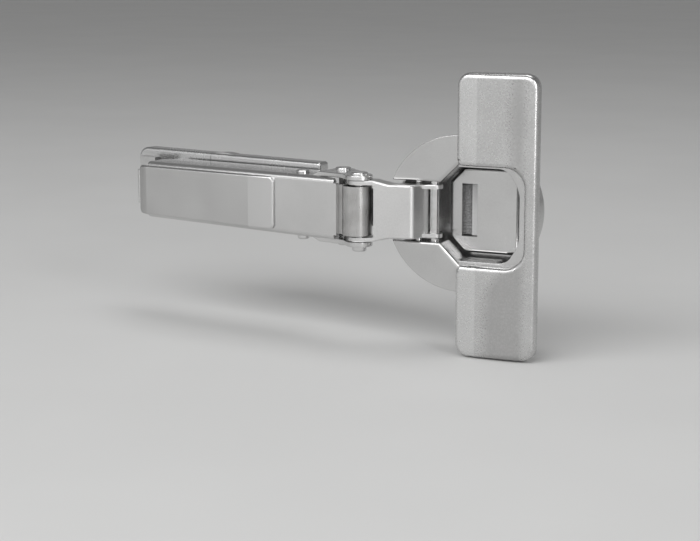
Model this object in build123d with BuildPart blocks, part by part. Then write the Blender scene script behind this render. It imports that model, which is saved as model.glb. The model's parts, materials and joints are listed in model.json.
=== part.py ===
from build123d import *
import math
import os

# A concealed cabinet hinge, shown with its door open by a little over 100 degrees.
# Sizes are millimetres. X runs along the arm towards the door, Y runs into the cabinet's
# side panel, Z is up, and the origin lies on the panel between the two fixing screws.
# Cup pieces are drawn in door axes: u along the door away from the hinged edge, h out of
# the door's inner face, counted from the top of the cup's rim.

# Mounting plate on the cabinet's side panel
screw_spacing = 32.0
screw_hole_radius = 2.6
screw_head_radius = 4.1
plate_rear_x = -38.0
plate_front_x = 22.5
plate_half_width = 9.3
plate_thickness = 3.5
plate_corner_radius = 3.0
plate_edge_round = 0.8
lug_length = 7.0
lug_inner_z = 3.2
lug_outer_z = 4.5
front_lug_x = 4.0
rear_lug_x = -29.0
bar_height = 7.2
bar_radius = 1.25
front_bar_half_length = 5.9
rear_bar_half_length = 4.6
bulge_x = -9.0
bulge_length = 6.0
bulge_height = 0.7

# Clip carrier between the plate and the arm
carrier_rear_x = -27.0
carrier_front_x = 14.0
carrier_top = 12.2
carrier_bottom = 4.4
carrier_half_width = 5.9
sheet = 1.0
carrier_bend = 1.0
carrier_window_length = 7.0
bar_play = 0.06
rear_wing_rear_x = -33.0
rear_wing_front_x = -27.8
rear_wing_half_width = 7.6
rear_wing_heights = (6.0, 8.6)

# Arm, an outer channel with two ears that carry the link pins
arm_face = 15.0
arm_rear_x = -25.0
arm_front_x = 35.7
arm_rear_half_width = 7.35
arm_front_half_width = 7.8
arm_sheet = 1.1
arm_bend = 1.4
arm_wall_bottom = 5.0
arm_wall_front_x = 29.6
ear_inner_z = 7.65
ear_root_x = 28.5
ear_thickness = 1.1
ear_nose_radius = 3.3

# Pivots, as places along X and heights off the panel
front_pivot = (40.7, -12.3)
rear_pivot = (32.4, -7.2)
front_pin_radius = 1.5
rear_pin_radius = 1.1
pin_play = 0.05
head_thickness = 0.65
front_head_radius = 2.15
rear_head_radius = 2.0
peen_radius = 1.8
peen_length = 1.35
cross_rivet_place = (22.4, -10.4)
cross_rivet_radius = 1.2
cross_rivet_head = 1.75

# Closing spring, a leaf rolled round the front pin
roll_radius = 3.7
roll_sheet = 0.9
roll_offset = 0.65
roll_half_width = 6.05
tail_rear_x = 17.0
tail_sheet = 0.6

# Cover cap over the adjusting screws
cap_rear_x = -27.5
cap_front_x = 16.8
cap_slope_x = -24.4
cap_break_x = 9.35
cap_height = 1.25
cap_front_height = 1.0
cap_rear_half_width = 6.4
cap_front_half_width = 6.7
cap_corner_radius = 1.3
cap_edge_round = 0.35
cap_leg_length = 2.2
cap_leg_x = (-20.0, 13.0)
cap_leg_size = (2.4, 1.0)
cap_leg_z = 5.0
seat_gap = 0.05

# Adjusters under the cap
side_screw_x = 2.0
side_screw_head_radius = 3.1
side_screw_head_length = 1.6
side_screw_radius = 2.1
side_screw_length = 6.5
cross_slot_width = 0.9
cross_slot_length = 4.0
depth_cam_x = -12.0
depth_cam_radius = 4.2
depth_cam_thickness = 1.2
depth_cam_stem_radius = 2.0
eccentric = 2.9
eccentric_radius = 1.1
eccentric_play = 0.2
arm_travel_back = 2.2
arm_travel_front = 2.2

# Release lever behind the arm, on its own pivot in the carrier
lever_pivot_place = (-21.5, -9.0)
lever_pin_radius = 0.9
lever_half_width = 2.8
lever_boss_radius = 1.9
button_x = -30.7
button_half_width = 4.4
hook_thickness = 1.2
spring_wire = 0.5
spring_half_length = 1.4

# Cup, its rim and what it holds
door_angle = 10.34
rim_centre = (64.06, -3.88)
rim_radius = 19.0
rim_thickness = 1.2
cup_radius = 17.5
cup_wall = 0.75
cup_bottom_h = -13.0
cup_bottom = 0.8
cup_bottom_round = 1.6
cup_notch_half_width = 5.2
cup_notch_depth = 5.8
cup_neck_relief = 0.25
cup_mouth_half_width = 7.9
cup_mouth_depth = 1.6
slot_half_width = 7.45
slot_end_u = -4.8
throat_u = -0.85
throat_half_width = 11.4
rim_opening_right_u = 15.2
rim_right_u = 17.0
rim_wing_half_length = 31.0
rim_wing_corner = 3.0
cheek_left_u = -14.3
cheek_sheet = 1.15
cheek_drop = 4.8

# Cup pins, in door axes
outer_cup_pivot = (-7.4, -2.6)
inner_cup_pivot = (-12.0, -3.5)
outer_cup_pin_radius = 1.1
inner_cup_pin_radius = 0.9

# Outer link, a channel with four eyes
link_sheet = 1.1
link_front_eye = 2.8
link_cup_eye = 1.95
link_wide = 7.55
link_narrow = 6.6
link_web_start = 4.1
link_web_height = 4.9
link_bend_u_h = (-9.8, 2.5)
link_lip_u_h = (-9.0, -2.2)
link_edge_round = 0.55

# Inner link, a bent strap with two eyes. Its arm eye has play, because the two links
# close a loop with the arm and the cup.
strap_sheet = 1.2
strap_half_width = 4.6
strap_cup_eye = 1.7
strap_arm_eye = 3.5
strap_play = 1.6
strap_length = 20.053
strap_angle = 185.785
strap_bends = [
    (0, 0),
    (6.0, -0.5),
    (11.0, -0.7),
    (12.6, -0.1),
    (14.0, 1.3),
    (15.6, 1.8),
    (17.2, 1.5),
    (18.6, 0.8),
    (strap_length, 0),
]

# Damper under the pocket floor
floor_h = -7.0
housing_left_u = -5.2
housing_right_u = 12.6
housing_narrow_z = 6.9
housing_wide_z = 10.5
housing_wall = 1.1
housing_edge_round = 0.9
window_u = (-2.0, 2.0)
window_half_length = 6.5
slider_gap = 0.25
slider_length = 5.8
slider_teeth = 9
slider_step = 1.3
slider_travel = 2.4
damper_radius = 1.35
damper_rod_radius = 0.6
damper_left_u = 6.2

# Wing lever over the cup and its two expanding dowels
wing_left_u = 0.1
wing_right_u = 20.3
wing_half_length = 34.2
wing_corner_radius = 3.2
wing_top_h = 3.0
wing_skirt_h = -0.9
wing_seat_gap = 0.15
wing_skin = 1.0
wing_wall = 0.8
wing_right_round = 2.4
wing_edge_round = 0.7
wing_facet_width = 5.3
wing_facet_drop = 0.3
pocket_half_width = 12.0
pocket_right_u = 17.1
pocket_corner_radius = 4.8
pocket_wall = 0.9
wing_pivot = (18.4, 0.9)
wing_lug_z = 15.55
wing_lug_thickness = 1.1
wing_lug_radius = 0.9
wing_block = 1.9
wing_pin_radius = 0.5
wing_pin_half_length = 2.4
dowel_spacing = 45.0
dowel_u = 9.5
dowel_radius = 4.0
dowel_bottom_h = -12.2
dowel_plain_length = 3.0
dowel_groove = 0.35
dowel_groove_pitch = 1.6
dowel_slit = 0.9
dowel_slit_length = 8.0
core_radius = 1.5
core_play = 0.25
core_head_radius = 2.8
core_head_h = 1.25
core_head_length = 0.6
core_bottom_h = -11.0
core_cone_radius = 2.4
core_cone_length = 2.0

parts_folder = "parts"
os.makedirs(parts_folder, exist_ok=True)


# Door axes: points, planes and arcs of the cup side
turn = math.radians(door_angle)
u_dir = (math.cos(turn), math.sin(turn), 0)
h_dir = (math.sin(turn), -math.cos(turn), 0)
out_of_door = Axis(origin=(*rim_centre, 0), direction=h_dir)
far_and_high = Axis(origin=(*rim_centre, 0), direction=(u_dir[0] + h_dir[0], u_dir[1] + h_dir[1], 0))


def door_point(u, h):
    """The place in X and Y of a point given along the door and out of it."""
    x = rim_centre[0] + u * u_dir[0] + h * h_dir[0]
    y = rim_centre[1] + u * u_dir[1] + h * h_dir[1]
    return (x, y)


def door_plane(h):
    """A plane parallel to the door at height h, with u and z as its axes."""
    x, y = door_point(0, h)
    return Plane(origin=(x, y, 0), x_dir=u_dir, z_dir=h_dir)


def panel_plane(height):
    """A plane parallel to the panel at a height off it, with X and z as its axes."""
    return Plane(origin=(0, -height, 0), x_dir=(1, 0, 0), z_dir=(0, -1, 0))


def level(z):
    return Plane.XY.offset(z)


def door_place(edge):
    """The middle of an edge in door axes: u, h and z."""
    middle = edge.center()
    x = middle.X - rim_centre[0]
    y = middle.Y - rim_centre[1]
    return (x * u_dir[0] + y * u_dir[1], x * h_dir[0] + y * h_dir[1], middle.Z)


def towards(start, end, along, across=0.0):
    """The point that lies along and to the right of the line from start to end."""
    length = math.dist(start, end)
    dx = (end[0] - start[0]) / length
    dy = (end[1] - start[1]) / length
    return (start[0] + along * dx + across * dy, start[1] + along * dy - across * dx)


def save(piece, name):
    piece.label = name
    export_step(piece, f"{parts_folder}/{name}.step")


outer_cup_place = door_point(*outer_cup_pivot)
inner_cup_place = door_point(*inner_cup_pivot)
screw_x = (-screw_spacing / 2, screw_spacing / 2)
arm_inner_face = arm_face - arm_sheet
tail_height = arm_inner_face - seat_gap
plate_length = plate_front_x - plate_rear_x
plate_middle_x = (plate_front_x + plate_rear_x) / 2
front_bar_x = front_lug_x + lug_length / 2
rear_bar_x = rear_lug_x + lug_length / 2 - 0.5

# Mounting plate: a straight slab with two pairs of lugs for the clip bars
with BuildPart() as mounting_plate:
    with BuildSketch(panel_plane(0)):
        with Locations((plate_middle_x, 0)):
            Rectangle(plate_length, 2 * plate_half_width)
        fillet(vertices().group_by(Axis.X)[0], plate_corner_radius)
        fillet(vertices().group_by(Axis.X)[-1], plate_edge_round)
    extrude(amount=plate_thickness)
    top_edges = mounting_plate.faces().sort_by(Axis.Y)[0].edges()
    fillet(top_edges, plate_edge_round)
    with BuildSketch(panel_plane(0)):
        with Locations((bulge_x, plate_half_width - bulge_length)):
            Circle(bulge_length + bulge_height)
        with Locations((bulge_x, 0)):
            Rectangle(
                4 * bulge_length, 2 * (plate_half_width - bulge_height), mode=Mode.SUBTRACT
            )
    extrude(amount=plate_thickness - plate_edge_round)
    for lug_x in (front_lug_x, rear_lug_x):
        for side in (1, -1):
            with BuildSketch(level(side * (lug_inner_z + lug_outer_z) / 2)):
                with BuildLine():
                    Polyline(
                        (lug_x, -plate_thickness / 2),
                        (lug_x + lug_length, -plate_thickness / 2),
                        (lug_x + lug_length - 1.0, -bar_height),
                        (lug_x + lug_length - 2.0, -bar_height - 2.0),
                        (lug_x + 2.0, -bar_height - 2.0),
                        (lug_x + 1.0, -bar_height),
                        close=True,
                    )
                make_face()
            extrude(amount=(lug_outer_z - lug_inner_z) / 2, both=True)
    for bar_x in (front_bar_x, rear_bar_x):
        with BuildSketch(level(0)):
            with Locations((bar_x, -bar_height)):
                Circle(bar_radius)
        extrude(amount=lug_outer_z + 1, both=True, mode=Mode.SUBTRACT)
    with Locations(panel_plane(plate_thickness)):
        with Locations(*[(x, 0) for x in screw_x]):
            CounterSinkHole(screw_hole_radius, screw_head_radius, counter_sink_angle=90)
save(mounting_plate.part, "mounting_plate")


def cross_bar(place, radius, low, high):
    """A plain round bar along z."""
    with BuildPart() as bar:
        with BuildSketch(level(low)):
            with Locations(place):
                Circle(radius)
        extrude(amount=high - low)
        ends = bar.edges().filter_by(GeomType.CIRCLE)
        chamfer(ends, min(0.2, radius / 5))
    return bar.part


save(
    cross_bar((front_bar_x, -bar_height), bar_radius, -front_bar_half_length, front_bar_half_length),
    "front_bar",
)
save(
    cross_bar((rear_bar_x, -bar_height), bar_radius, -rear_bar_half_length, rear_bar_half_length),
    "rear_bar",
)

# Clip carrier: an inner channel that hooks over the front bar
carrier_length = carrier_front_x - carrier_rear_x
carrier_depth = carrier_top - carrier_bottom
with BuildPart() as clip_carrier:
    with BuildSketch(Plane.YZ.offset(carrier_rear_x)):
        with Locations((-(carrier_top + carrier_bottom) / 2, 0)):
            Rectangle(carrier_depth, 2 * carrier_half_width)
    extrude(amount=carrier_length)
    long_edges = clip_carrier.edges().filter_by(Axis.X)
    top_edges = long_edges.group_by(Axis.Y)[0]
    fillet(top_edges, carrier_bend)
    with BuildSketch(Plane.YZ.offset(carrier_rear_x)):
        with Locations((-(carrier_top - sheet + carrier_bottom) / 2, 0)):
            Rectangle(carrier_depth - sheet, 2 * (carrier_half_width - sheet))
    extrude(amount=carrier_length, mode=Mode.SUBTRACT)
    # rear tongues with small wings that stand out beside the lever
    tongue_middle_x = (rear_wing_rear_x + carrier_rear_x + 1) / 2
    wing_middle_x = (rear_wing_rear_x + rear_wing_front_x) / 2
    with BuildSketch(panel_plane(rear_wing_heights[0])):
        with Locations((tongue_middle_x, 0)):
            Rectangle(carrier_rear_x + 1 - rear_wing_rear_x, 2 * carrier_half_width)
        with Locations((wing_middle_x, 0)):
            Rectangle(rear_wing_front_x - rear_wing_rear_x, 2 * rear_wing_half_width)
        with Locations((tongue_middle_x, 0)):
            Rectangle(carrier_length, 2 * (carrier_half_width - sheet), mode=Mode.SUBTRACT)
    extrude(amount=rear_wing_heights[1] - rear_wing_heights[0])
    # hooks over the front bar
    with BuildSketch(level(0)):
        with Locations((front_bar_x, -bar_height)):
            Circle(bar_radius + bar_play)
        with Locations((front_bar_x + 2.6, -bar_height + 1.0)):
            Rectangle(5.2, 2 * (bar_radius + bar_play) + 2.0)
    extrude(amount=carrier_half_width + 4, both=True, mode=Mode.SUBTRACT)
    with BuildSketch(level(0)):
        with Locations(lever_pivot_place):
            Circle(lever_pin_radius)
    extrude(amount=carrier_half_width + 1, both=True, mode=Mode.SUBTRACT)
    with Locations(panel_plane(carrier_top)):
        with Locations((side_screw_x, 0)):
            Hole(side_screw_radius + pin_play, depth=sheet + 1)
        with Locations((depth_cam_x, 0)):
            Hole(depth_cam_stem_radius + pin_play, depth=sheet + 1)
    with BuildSketch(panel_plane(carrier_top)):
        with Locations((carrier_rear_x, 0)):
            Rectangle(2 * carrier_window_length, 2 * lever_half_width + 0.8)
    extrude(amount=-(sheet + 0.2), mode=Mode.SUBTRACT)
save(clip_carrier.part, "clip_carrier")

# Side adjusting screw, with a cross slot in its head
with BuildPart() as side_screw:
    head_top = arm_face - arm_sheet / 2
    with BuildSketch(panel_plane(head_top)):
        with Locations((side_screw_x, 0)):
            Circle(side_screw_head_radius)
    extrude(amount=-side_screw_head_length)
    with BuildSketch(panel_plane(head_top - side_screw_head_length)):
        with Locations((side_screw_x, 0)):
            Circle(side_screw_radius)
    extrude(amount=-side_screw_length)
    with BuildSketch(panel_plane(head_top)):
        with Locations((side_screw_x, 0)):
            Rectangle(cross_slot_length, cross_slot_width)
            Rectangle(cross_slot_width, cross_slot_length)
    extrude(amount=-side_screw_head_length * 0.6, mode=Mode.SUBTRACT)
    chamfer(side_screw.faces().sort_by(Axis.Y)[-1].edges(), 0.4)
save(side_screw.part, "side_screw")

# Depth cam: a disc on the carrier whose eccentric stud drives the arm
cam_bottom = carrier_top + seat_gap
cam_top = cam_bottom + depth_cam_thickness
with BuildPart() as depth_cam:
    with BuildSketch(panel_plane(cam_bottom)):
        with Locations((depth_cam_x, 0)):
            Circle(depth_cam_radius)
    extrude(amount=depth_cam_thickness)
    with BuildSketch(panel_plane(cam_top)):
        with Locations((depth_cam_x, eccentric)):
            Circle(eccentric_radius)
    extrude(amount=arm_face - cam_top - seat_gap)
    with BuildSketch(panel_plane(cam_bottom)):
        with Locations((depth_cam_x, 0)):
            Circle(depth_cam_stem_radius)
    extrude(amount=-(sheet + 2 * seat_gap))
    with BuildSketch(panel_plane(cam_bottom - sheet - 2 * seat_gap)):
        with Locations((depth_cam_x, 0)):
            Circle(depth_cam_stem_radius + 0.7)
    extrude(amount=-0.6)
    with BuildSketch(panel_plane(cam_top)):
        with Locations((depth_cam_x, 0)):
            Rectangle(cross_slot_length * 0.8, cross_slot_width)
            Rectangle(cross_slot_width, cross_slot_length * 0.8)
    extrude(amount=-depth_cam_thickness * 0.7, mode=Mode.SUBTRACT)
save(depth_cam.part, "depth_cam")

# Release lever with its thumb button, hooked under the rear bar
lever_x, lever_y = lever_pivot_place
hook_rear_x = rear_bar_x - bar_radius - 0.35 - hook_thickness
with BuildPart() as release_lever:
    with BuildSketch(level(0)):
        with Locations(lever_pivot_place):
            Circle(lever_boss_radius)
        with BuildLine():
            Polyline(
                (lever_x, lever_y - lever_boss_radius),
                (button_x, lever_y - 1.4),
                (button_x, lever_y + 0.4),
                (hook_rear_x, lever_y + 0.6),
                (hook_rear_x, -bar_height + bar_radius + 1.15),
                (rear_bar_x - 0.7, -bar_height + bar_radius + 1.15),
                (rear_bar_x - 0.7, -bar_height + bar_radius + 0.35),
                (hook_rear_x + hook_thickness, -bar_height + bar_radius + 0.35),
                (hook_rear_x + hook_thickness, lever_y + 0.1),
                (lever_x, lever_y + 0.1),
                close=True,
            )
        make_face()
    extrude(amount=lever_half_width, both=True)
    with BuildSketch(level(0)):
        with Locations((button_x, lever_y - 0.5)):
            Ellipse(1.2, 2.4)
    extrude(amount=button_half_width, both=True)
    with BuildSketch(level(0)):
        with Locations(lever_pivot_place):
            Circle(lever_pin_radius + pin_play)
        with Locations((rear_bar_x, -bar_height)):
            Circle(bar_radius + 0.3)
    extrude(amount=lever_half_width + 1, both=True, mode=Mode.SUBTRACT)
    with BuildSketch(level(0)):
        with Locations(lever_pivot_place):
            Circle(lever_pin_radius + pin_play + spring_wire + 0.1)
    extrude(amount=spring_half_length + 0.1, both=True, mode=Mode.SUBTRACT)
save(release_lever.part, "release_lever")
save(
    cross_bar(lever_pivot_place, lever_pin_radius, -carrier_half_width, carrier_half_width),
    "lever_pivot_pin",
)

# Arm: a tapering channel, its ears jogged outwards to straddle the links
wall_slope = (arm_front_half_width - arm_rear_half_width) / (arm_front_x - arm_rear_x)


def arm_outline(inset, rear_x, front_x):
    """The arm's tapering plan, drawn in by an inset."""
    rear = arm_rear_half_width + wall_slope * (rear_x - arm_rear_x) - inset
    front = arm_rear_half_width + wall_slope * (front_x - arm_rear_x) - inset
    return [(rear_x, -rear), (front_x, -front), (front_x, front), (rear_x, rear)]


ear_outer_z = ear_inner_z + ear_thickness
pivot_span = math.dist(rear_pivot, front_pivot)
wall_front_inner = arm_rear_half_width + wall_slope * (arm_wall_front_x - arm_rear_x) - arm_sheet
cam_slot_low = eccentric * math.cos(math.asin(arm_travel_front / eccentric))
with BuildPart() as arm:
    with BuildSketch(panel_plane(arm_wall_bottom)):
        with BuildLine():
            Polyline(*arm_outline(0, arm_rear_x, arm_front_x), close=True)
        make_face()
    extrude(amount=arm_face - arm_wall_bottom)
    face_edges = arm.faces().sort_by(Axis.Y)[0].edges().sort_by(Axis.X)
    fillet(face_edges[1:3], arm_bend)
    with BuildSketch(panel_plane(arm_wall_bottom - 1)):
        with BuildLine():
            Polyline(
                *arm_outline(arm_sheet, arm_rear_x - 3, arm_front_x + 3), close=True
            )
        make_face()
    extrude(amount=arm_inner_face - arm_wall_bottom + 1, mode=Mode.SUBTRACT)
    # the walls stop short of the face's front end, and slope up at the rear
    with BuildSketch(level(0)):
        with Locations(((arm_wall_front_x + arm_front_x + 6) / 2, -arm_wall_bottom)):
            Rectangle(
                arm_front_x + 6 - arm_wall_front_x, 2 * (arm_inner_face - arm_wall_bottom) - 0.6
            )
        with BuildLine():
            Polyline(
                (arm_rear_x - 1, -arm_wall_bottom + 1),
                (arm_rear_x - 1, -arm_face + 4.6),
                (arm_rear_x + 3.5, -arm_wall_bottom + 1),
                close=True,
            )
        make_face()
    extrude(amount=arm_front_half_width + 2, both=True, mode=Mode.SUBTRACT)
    for side in (1, -1):
        middle = side * (ear_inner_z + ear_outer_z) / 2
        with BuildSketch(level(middle)):
            with Locations(front_pivot, rear_pivot):
                Circle(ear_nose_radius)
            with BuildLine():
                Polyline(
                    (ear_root_x, -arm_face + 1.7),
                    (front_pivot[0] - 4.2, -arm_face + 1.6),
                    towards(rear_pivot, front_pivot, pivot_span, ear_nose_radius),
                    towards(rear_pivot, front_pivot, pivot_span, -ear_nose_radius),
                    towards(rear_pivot, front_pivot, 0, -ear_nose_radius),
                    (ear_root_x, -arm_wall_bottom),
                    close=True,
                )
            make_face()
        extrude(amount=ear_thickness / 2, both=True)
        # the jog that joins ear and wall
        with BuildSketch(level(side * (wall_front_inner + ear_outer_z) / 2)):
            with Locations(((ear_root_x + arm_wall_front_x) / 2, -(arm_inner_face + arm_wall_bottom) / 2)):
                Rectangle(arm_wall_front_x - ear_root_x, arm_inner_face - arm_wall_bottom - 0.4)
        extrude(amount=(ear_outer_z - wall_front_inner) / 2, both=True)
    with BuildSketch(level(0)):
        with Locations(front_pivot):
            Circle(front_pin_radius)
        with Locations(rear_pivot):
            Circle(rear_pin_radius)
        with Locations(cross_rivet_place):
            Circle(cross_rivet_radius)
    extrude(amount=ear_outer_z + 1, both=True, mode=Mode.SUBTRACT)
    # relief notches at the front corners of the face
    with BuildSketch(panel_plane(arm_inner_face - 1)):
        with Locations((arm_front_x, arm_front_half_width), (arm_front_x, -arm_front_half_width)):
            Circle(1.5)
    extrude(amount=arm_sheet + 2, mode=Mode.SUBTRACT)
    # openings for the two adjusters and the cap's legs
    with BuildSketch(panel_plane(arm_inner_face - 1)):
        with Locations((side_screw_x, 0)):
            SlotCenterToCenter(arm_travel_back + arm_travel_front, 2 * (side_screw_head_radius + 0.3))
        with Locations((depth_cam_x, 0)):
            SlotCenterToCenter(arm_travel_back + arm_travel_front, 3.2)
        with Locations((depth_cam_x, (cam_slot_low + eccentric) / 2)):
            SlotCenterToCenter(
                eccentric - cam_slot_low + 0.01,
                2 * (eccentric_radius + eccentric_play),
                rotation=90,
            )
        with Locations(*[(x, s * cap_leg_z) for x in cap_leg_x for s in (1, -1)]):
            Rectangle(cap_leg_size[0] + 2 * seat_gap, cap_leg_size[1] + 2 * seat_gap)
    extrude(amount=arm_sheet + 2, mode=Mode.SUBTRACT)
save(arm.part, "arm")


def headed_pin(place, radius, head, high, peen, low):
    """A pin along z with a flat head on top and a peened end below."""
    with BuildPart() as pin:
        with BuildSketch(level(-low)):
            with Locations(place):
                Circle(radius)
        extrude(amount=low + high)
        with BuildSketch(level(high)):
            with Locations(place):
                Circle(head)
        extrude(amount=head_thickness)
        with BuildSketch(level(-low)):
            with Locations(place):
                Circle(peen)
        extrude(amount=-peen_length)
        top = pin.faces().sort_by(Axis.Z)[-1].edges()
        fillet(top, head_thickness * 0.6)
        bottom = pin.faces().sort_by(Axis.Z)[0].edges()
        fillet(bottom, peen_length * 0.4)
    return pin.part


save(
    headed_pin(front_pivot, front_pin_radius, front_head_radius, ear_outer_z, peen_radius, ear_outer_z),
    "front_pin",
)
save(
    headed_pin(rear_pivot, rear_pin_radius, rear_head_radius, ear_outer_z, peen_radius * 0.8, ear_outer_z),
    "rear_pin",
)
rivet_seat = arm_rear_half_width + wall_slope * (cross_rivet_place[0] - arm_rear_x) + seat_gap
save(
    headed_pin(
        cross_rivet_place,
        cross_rivet_radius,
        cross_rivet_head,
        rivet_seat,
        cross_rivet_head * 0.85,
        rivet_seat,
    ),
    "cross_rivet",
)

# Closing spring: a leaf whose end is rolled round the front pin
roll_place = (front_pivot[0] - roll_offset, front_pivot[1])
with BuildPart() as closing_spring:
    with BuildSketch(level(0)):
        with Locations(roll_place):
            Circle(roll_radius)
        with BuildLine():
            Polyline(
                (tail_rear_x, -tail_height),
                (roll_place[0] - 3.2, -tail_height),
                (roll_place[0] - 2.9, -tail_height + tail_sheet),
                (tail_rear_x, -tail_height + tail_sheet),
                close=True,
            )
        make_face()
        with Locations(roll_place):
            Circle(roll_radius - roll_sheet, mode=Mode.SUBTRACT)
    extrude(amount=roll_half_width, both=True)
save(closing_spring.part, "closing_spring")

# Cover cap: three shallow facets with clip legs
cap_outline = [
    (cap_rear_x, -cap_rear_half_width),
    (cap_front_x, -cap_front_half_width),
    (cap_front_x, cap_front_half_width),
    (cap_rear_x, cap_rear_half_width),
]
cap_base = arm_face + seat_gap
with BuildPart() as cover_cap:
    with BuildSketch(level(0)):
        with BuildLine():
            Polyline(
                (cap_rear_x, -cap_base),
                (cap_rear_x, -cap_base - 0.25),
                (cap_slope_x, -cap_base - cap_height),
                (cap_break_x, -cap_base - cap_height),
                (cap_front_x, -cap_base - cap_front_height),
                (cap_front_x, -cap_base),
                close=True,
            )
        make_face()
    extrude(amount=cap_front_half_width + 1, both=True)
    with BuildSketch(panel_plane(cap_base)):
        with BuildLine():
            Polyline(*cap_outline, close=True)
        make_face()
        fillet(vertices(), cap_corner_radius)
    extrude(amount=cap_height + 1, mode=Mode.INTERSECT)
    upper_edges = [
        e
        for e in cover_cap.edges()
        if max(v.Y for v in e.vertices()) < -cap_base - 0.2
        and abs(e.center().X - cap_slope_x) > 0.1
        and abs(e.center().X - cap_break_x) > 0.1
    ]
    fillet(upper_edges, cap_edge_round)
    with BuildSketch(panel_plane(cap_base)):
        with Locations(*[(x, s * cap_leg_z) for x in cap_leg_x for s in (1, -1)]):
            Rectangle(*cap_leg_size)
    extrude(amount=-cap_leg_length)
save(cover_cap.part, "cover_cap")

# Outer link: a cranked channel, wide at the arm's pin and narrow at the cup's pin.
# It is cut from the solid side view by its plan and then hollowed.
front_pivot_u = (front_pivot[0] - rim_centre[0]) * u_dir[0] + (front_pivot[1] - rim_centre[1]) * u_dir[1]
front_pivot_h = (front_pivot[0] - rim_centre[0]) * h_dir[0] + (front_pivot[1] - rim_centre[1]) * h_dir[1]
web_line = [
    (front_pivot_u + link_web_start, link_web_height),
    link_bend_u_h,
    link_lip_u_h,
]
web_back = [
    (web_line[0][0] - 0.25 * link_sheet, web_line[0][1] - link_sheet),
    (link_bend_u_h[0] - 1.15 * link_sheet, link_bend_u_h[1] - 0.75 * link_sheet),
    (link_lip_u_h[0] - link_sheet, link_lip_u_h[1] - 0.1),
]
web_points = [door_point(*p) for p in web_line + web_back[::-1]]
link_side_points = [
    (front_pivot_u - 0.4, front_pivot_h + link_front_eye - 0.05),
    web_line[0],
    link_bend_u_h,
    (link_lip_u_h[0] + 0.35, link_lip_u_h[1] + 2.6),
    (outer_cup_pivot[0] + link_cup_eye * 0.8, outer_cup_pivot[1] + link_cup_eye * 0.6),
    (outer_cup_pivot[0], outer_cup_pivot[1] - link_cup_eye),
    (outer_cup_pivot[0] - 3.0, outer_cup_pivot[1] + 0.3),
    (link_bend_u_h[0] - 3.4, -0.9),
    (front_pivot_u + 6.6, 0.1),
    (front_pivot_u + 0.9, front_pivot_h - link_front_eye + 0.13),
]


def link_plan(inset):
    """The outer link's plan in door axes, drawn in by an inset."""
    wide = link_wide - inset
    narrow = link_narrow - inset
    wide_u = front_pivot_u + link_front_eye + 0.8
    return [
        (front_pivot_u - 5, -wide),
        (wide_u, -wide),
        (wide_u + 4.2, -narrow),
        (0, -narrow),
        (0, narrow),
        (wide_u + 4.2, narrow),
        (wide_u, wide),
        (front_pivot_u - 5, wide),
    ]


with BuildPart() as link_hollow:
    with BuildSketch(level(0)):
        with Locations(door_point(-cup_radius, 0)):
            Rectangle(3 * cup_radius, 3 * cup_radius)
        with BuildLine():
            Polyline(*web_points, close=True)
        make_face(mode=Mode.SUBTRACT)
    extrude(amount=link_wide, both=True)
    with BuildSketch(door_plane(-rim_radius)):
        with BuildLine():
            Polyline(*link_plan(link_sheet), close=True)
        make_face()
    extrude(amount=2 * rim_radius, mode=Mode.INTERSECT)

with BuildPart() as outer_link:
    with BuildSketch(level(0)):
        with BuildLine():
            Polyline(*[door_point(*p) for p in link_side_points], close=True)
        make_face()
        with Locations(front_pivot):
            Circle(link_front_eye)
        with Locations(outer_cup_place):
            Circle(link_cup_eye)
    extrude(amount=link_wide + 1, both=True)
    with BuildSketch(door_plane(-rim_radius)):
        with BuildLine():
            Polyline(*link_plan(0), close=True)
        make_face()
    extrude(amount=2 * rim_radius, mode=Mode.INTERSECT)
    web_sides = [
        e
        for e in outer_link.edges().filter_by(Axis.Z, reverse=True)
        if abs(door_place(e)[2]) > link_narrow - 0.3
        and web_line[0][0] < door_place(e)[0] < link_lip_u_h[0]
        and door_place(e)[1] > link_lip_u_h[1] + 1.8
    ]
    fillet(web_sides, link_edge_round)
    add(link_hollow.part, mode=Mode.SUBTRACT)
    with BuildSketch(level(0)):
        with Locations(front_pivot):
            Circle(front_pin_radius + pin_play)
        with Locations(outer_cup_place):
            Circle(outer_cup_pin_radius + pin_play)
    extrude(amount=link_wide + 1, both=True, mode=Mode.SUBTRACT)
save(outer_link.part, "outer_link")

# Inner link: a bent strap below the outer one
strap_turn = math.radians(door_angle + strap_angle)
strap_eye_place = (
    inner_cup_place[0] + strap_length * math.cos(strap_turn),
    inner_cup_place[1] + strap_length * math.sin(strap_turn),
)


def strap_point(along, across):
    """A point counted from the arm's eye towards the cup's eye, and to its left."""
    return towards(strap_eye_place, inner_cup_place, along, -across)


strap_path = [strap_point(*p) for p in strap_bends]
with BuildPart() as inner_link:
    with BuildSketch(level(0)):
        for start, end in zip(strap_path[:-1], strap_path[1:]):
            middle = ((start[0] + end[0]) / 2, (start[1] + end[1]) / 2)
            slope = math.degrees(math.atan2(end[1] - start[1], end[0] - start[0]))
            with Locations(middle):
                SlotCenterToCenter(math.dist(start, end), strap_sheet, rotation=slope)
        with Locations(strap_eye_place):
            Circle(strap_arm_eye)
        with Locations(inner_cup_place):
            Circle(strap_cup_eye)
        with Locations(strap_eye_place):
            Circle(rear_pin_radius + strap_play, mode=Mode.SUBTRACT)
        with Locations(inner_cup_place):
            Circle(inner_cup_pin_radius + pin_play, mode=Mode.SUBTRACT)
    extrude(amount=strap_half_width, both=True)
save(inner_link.part, "inner_link")

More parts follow.
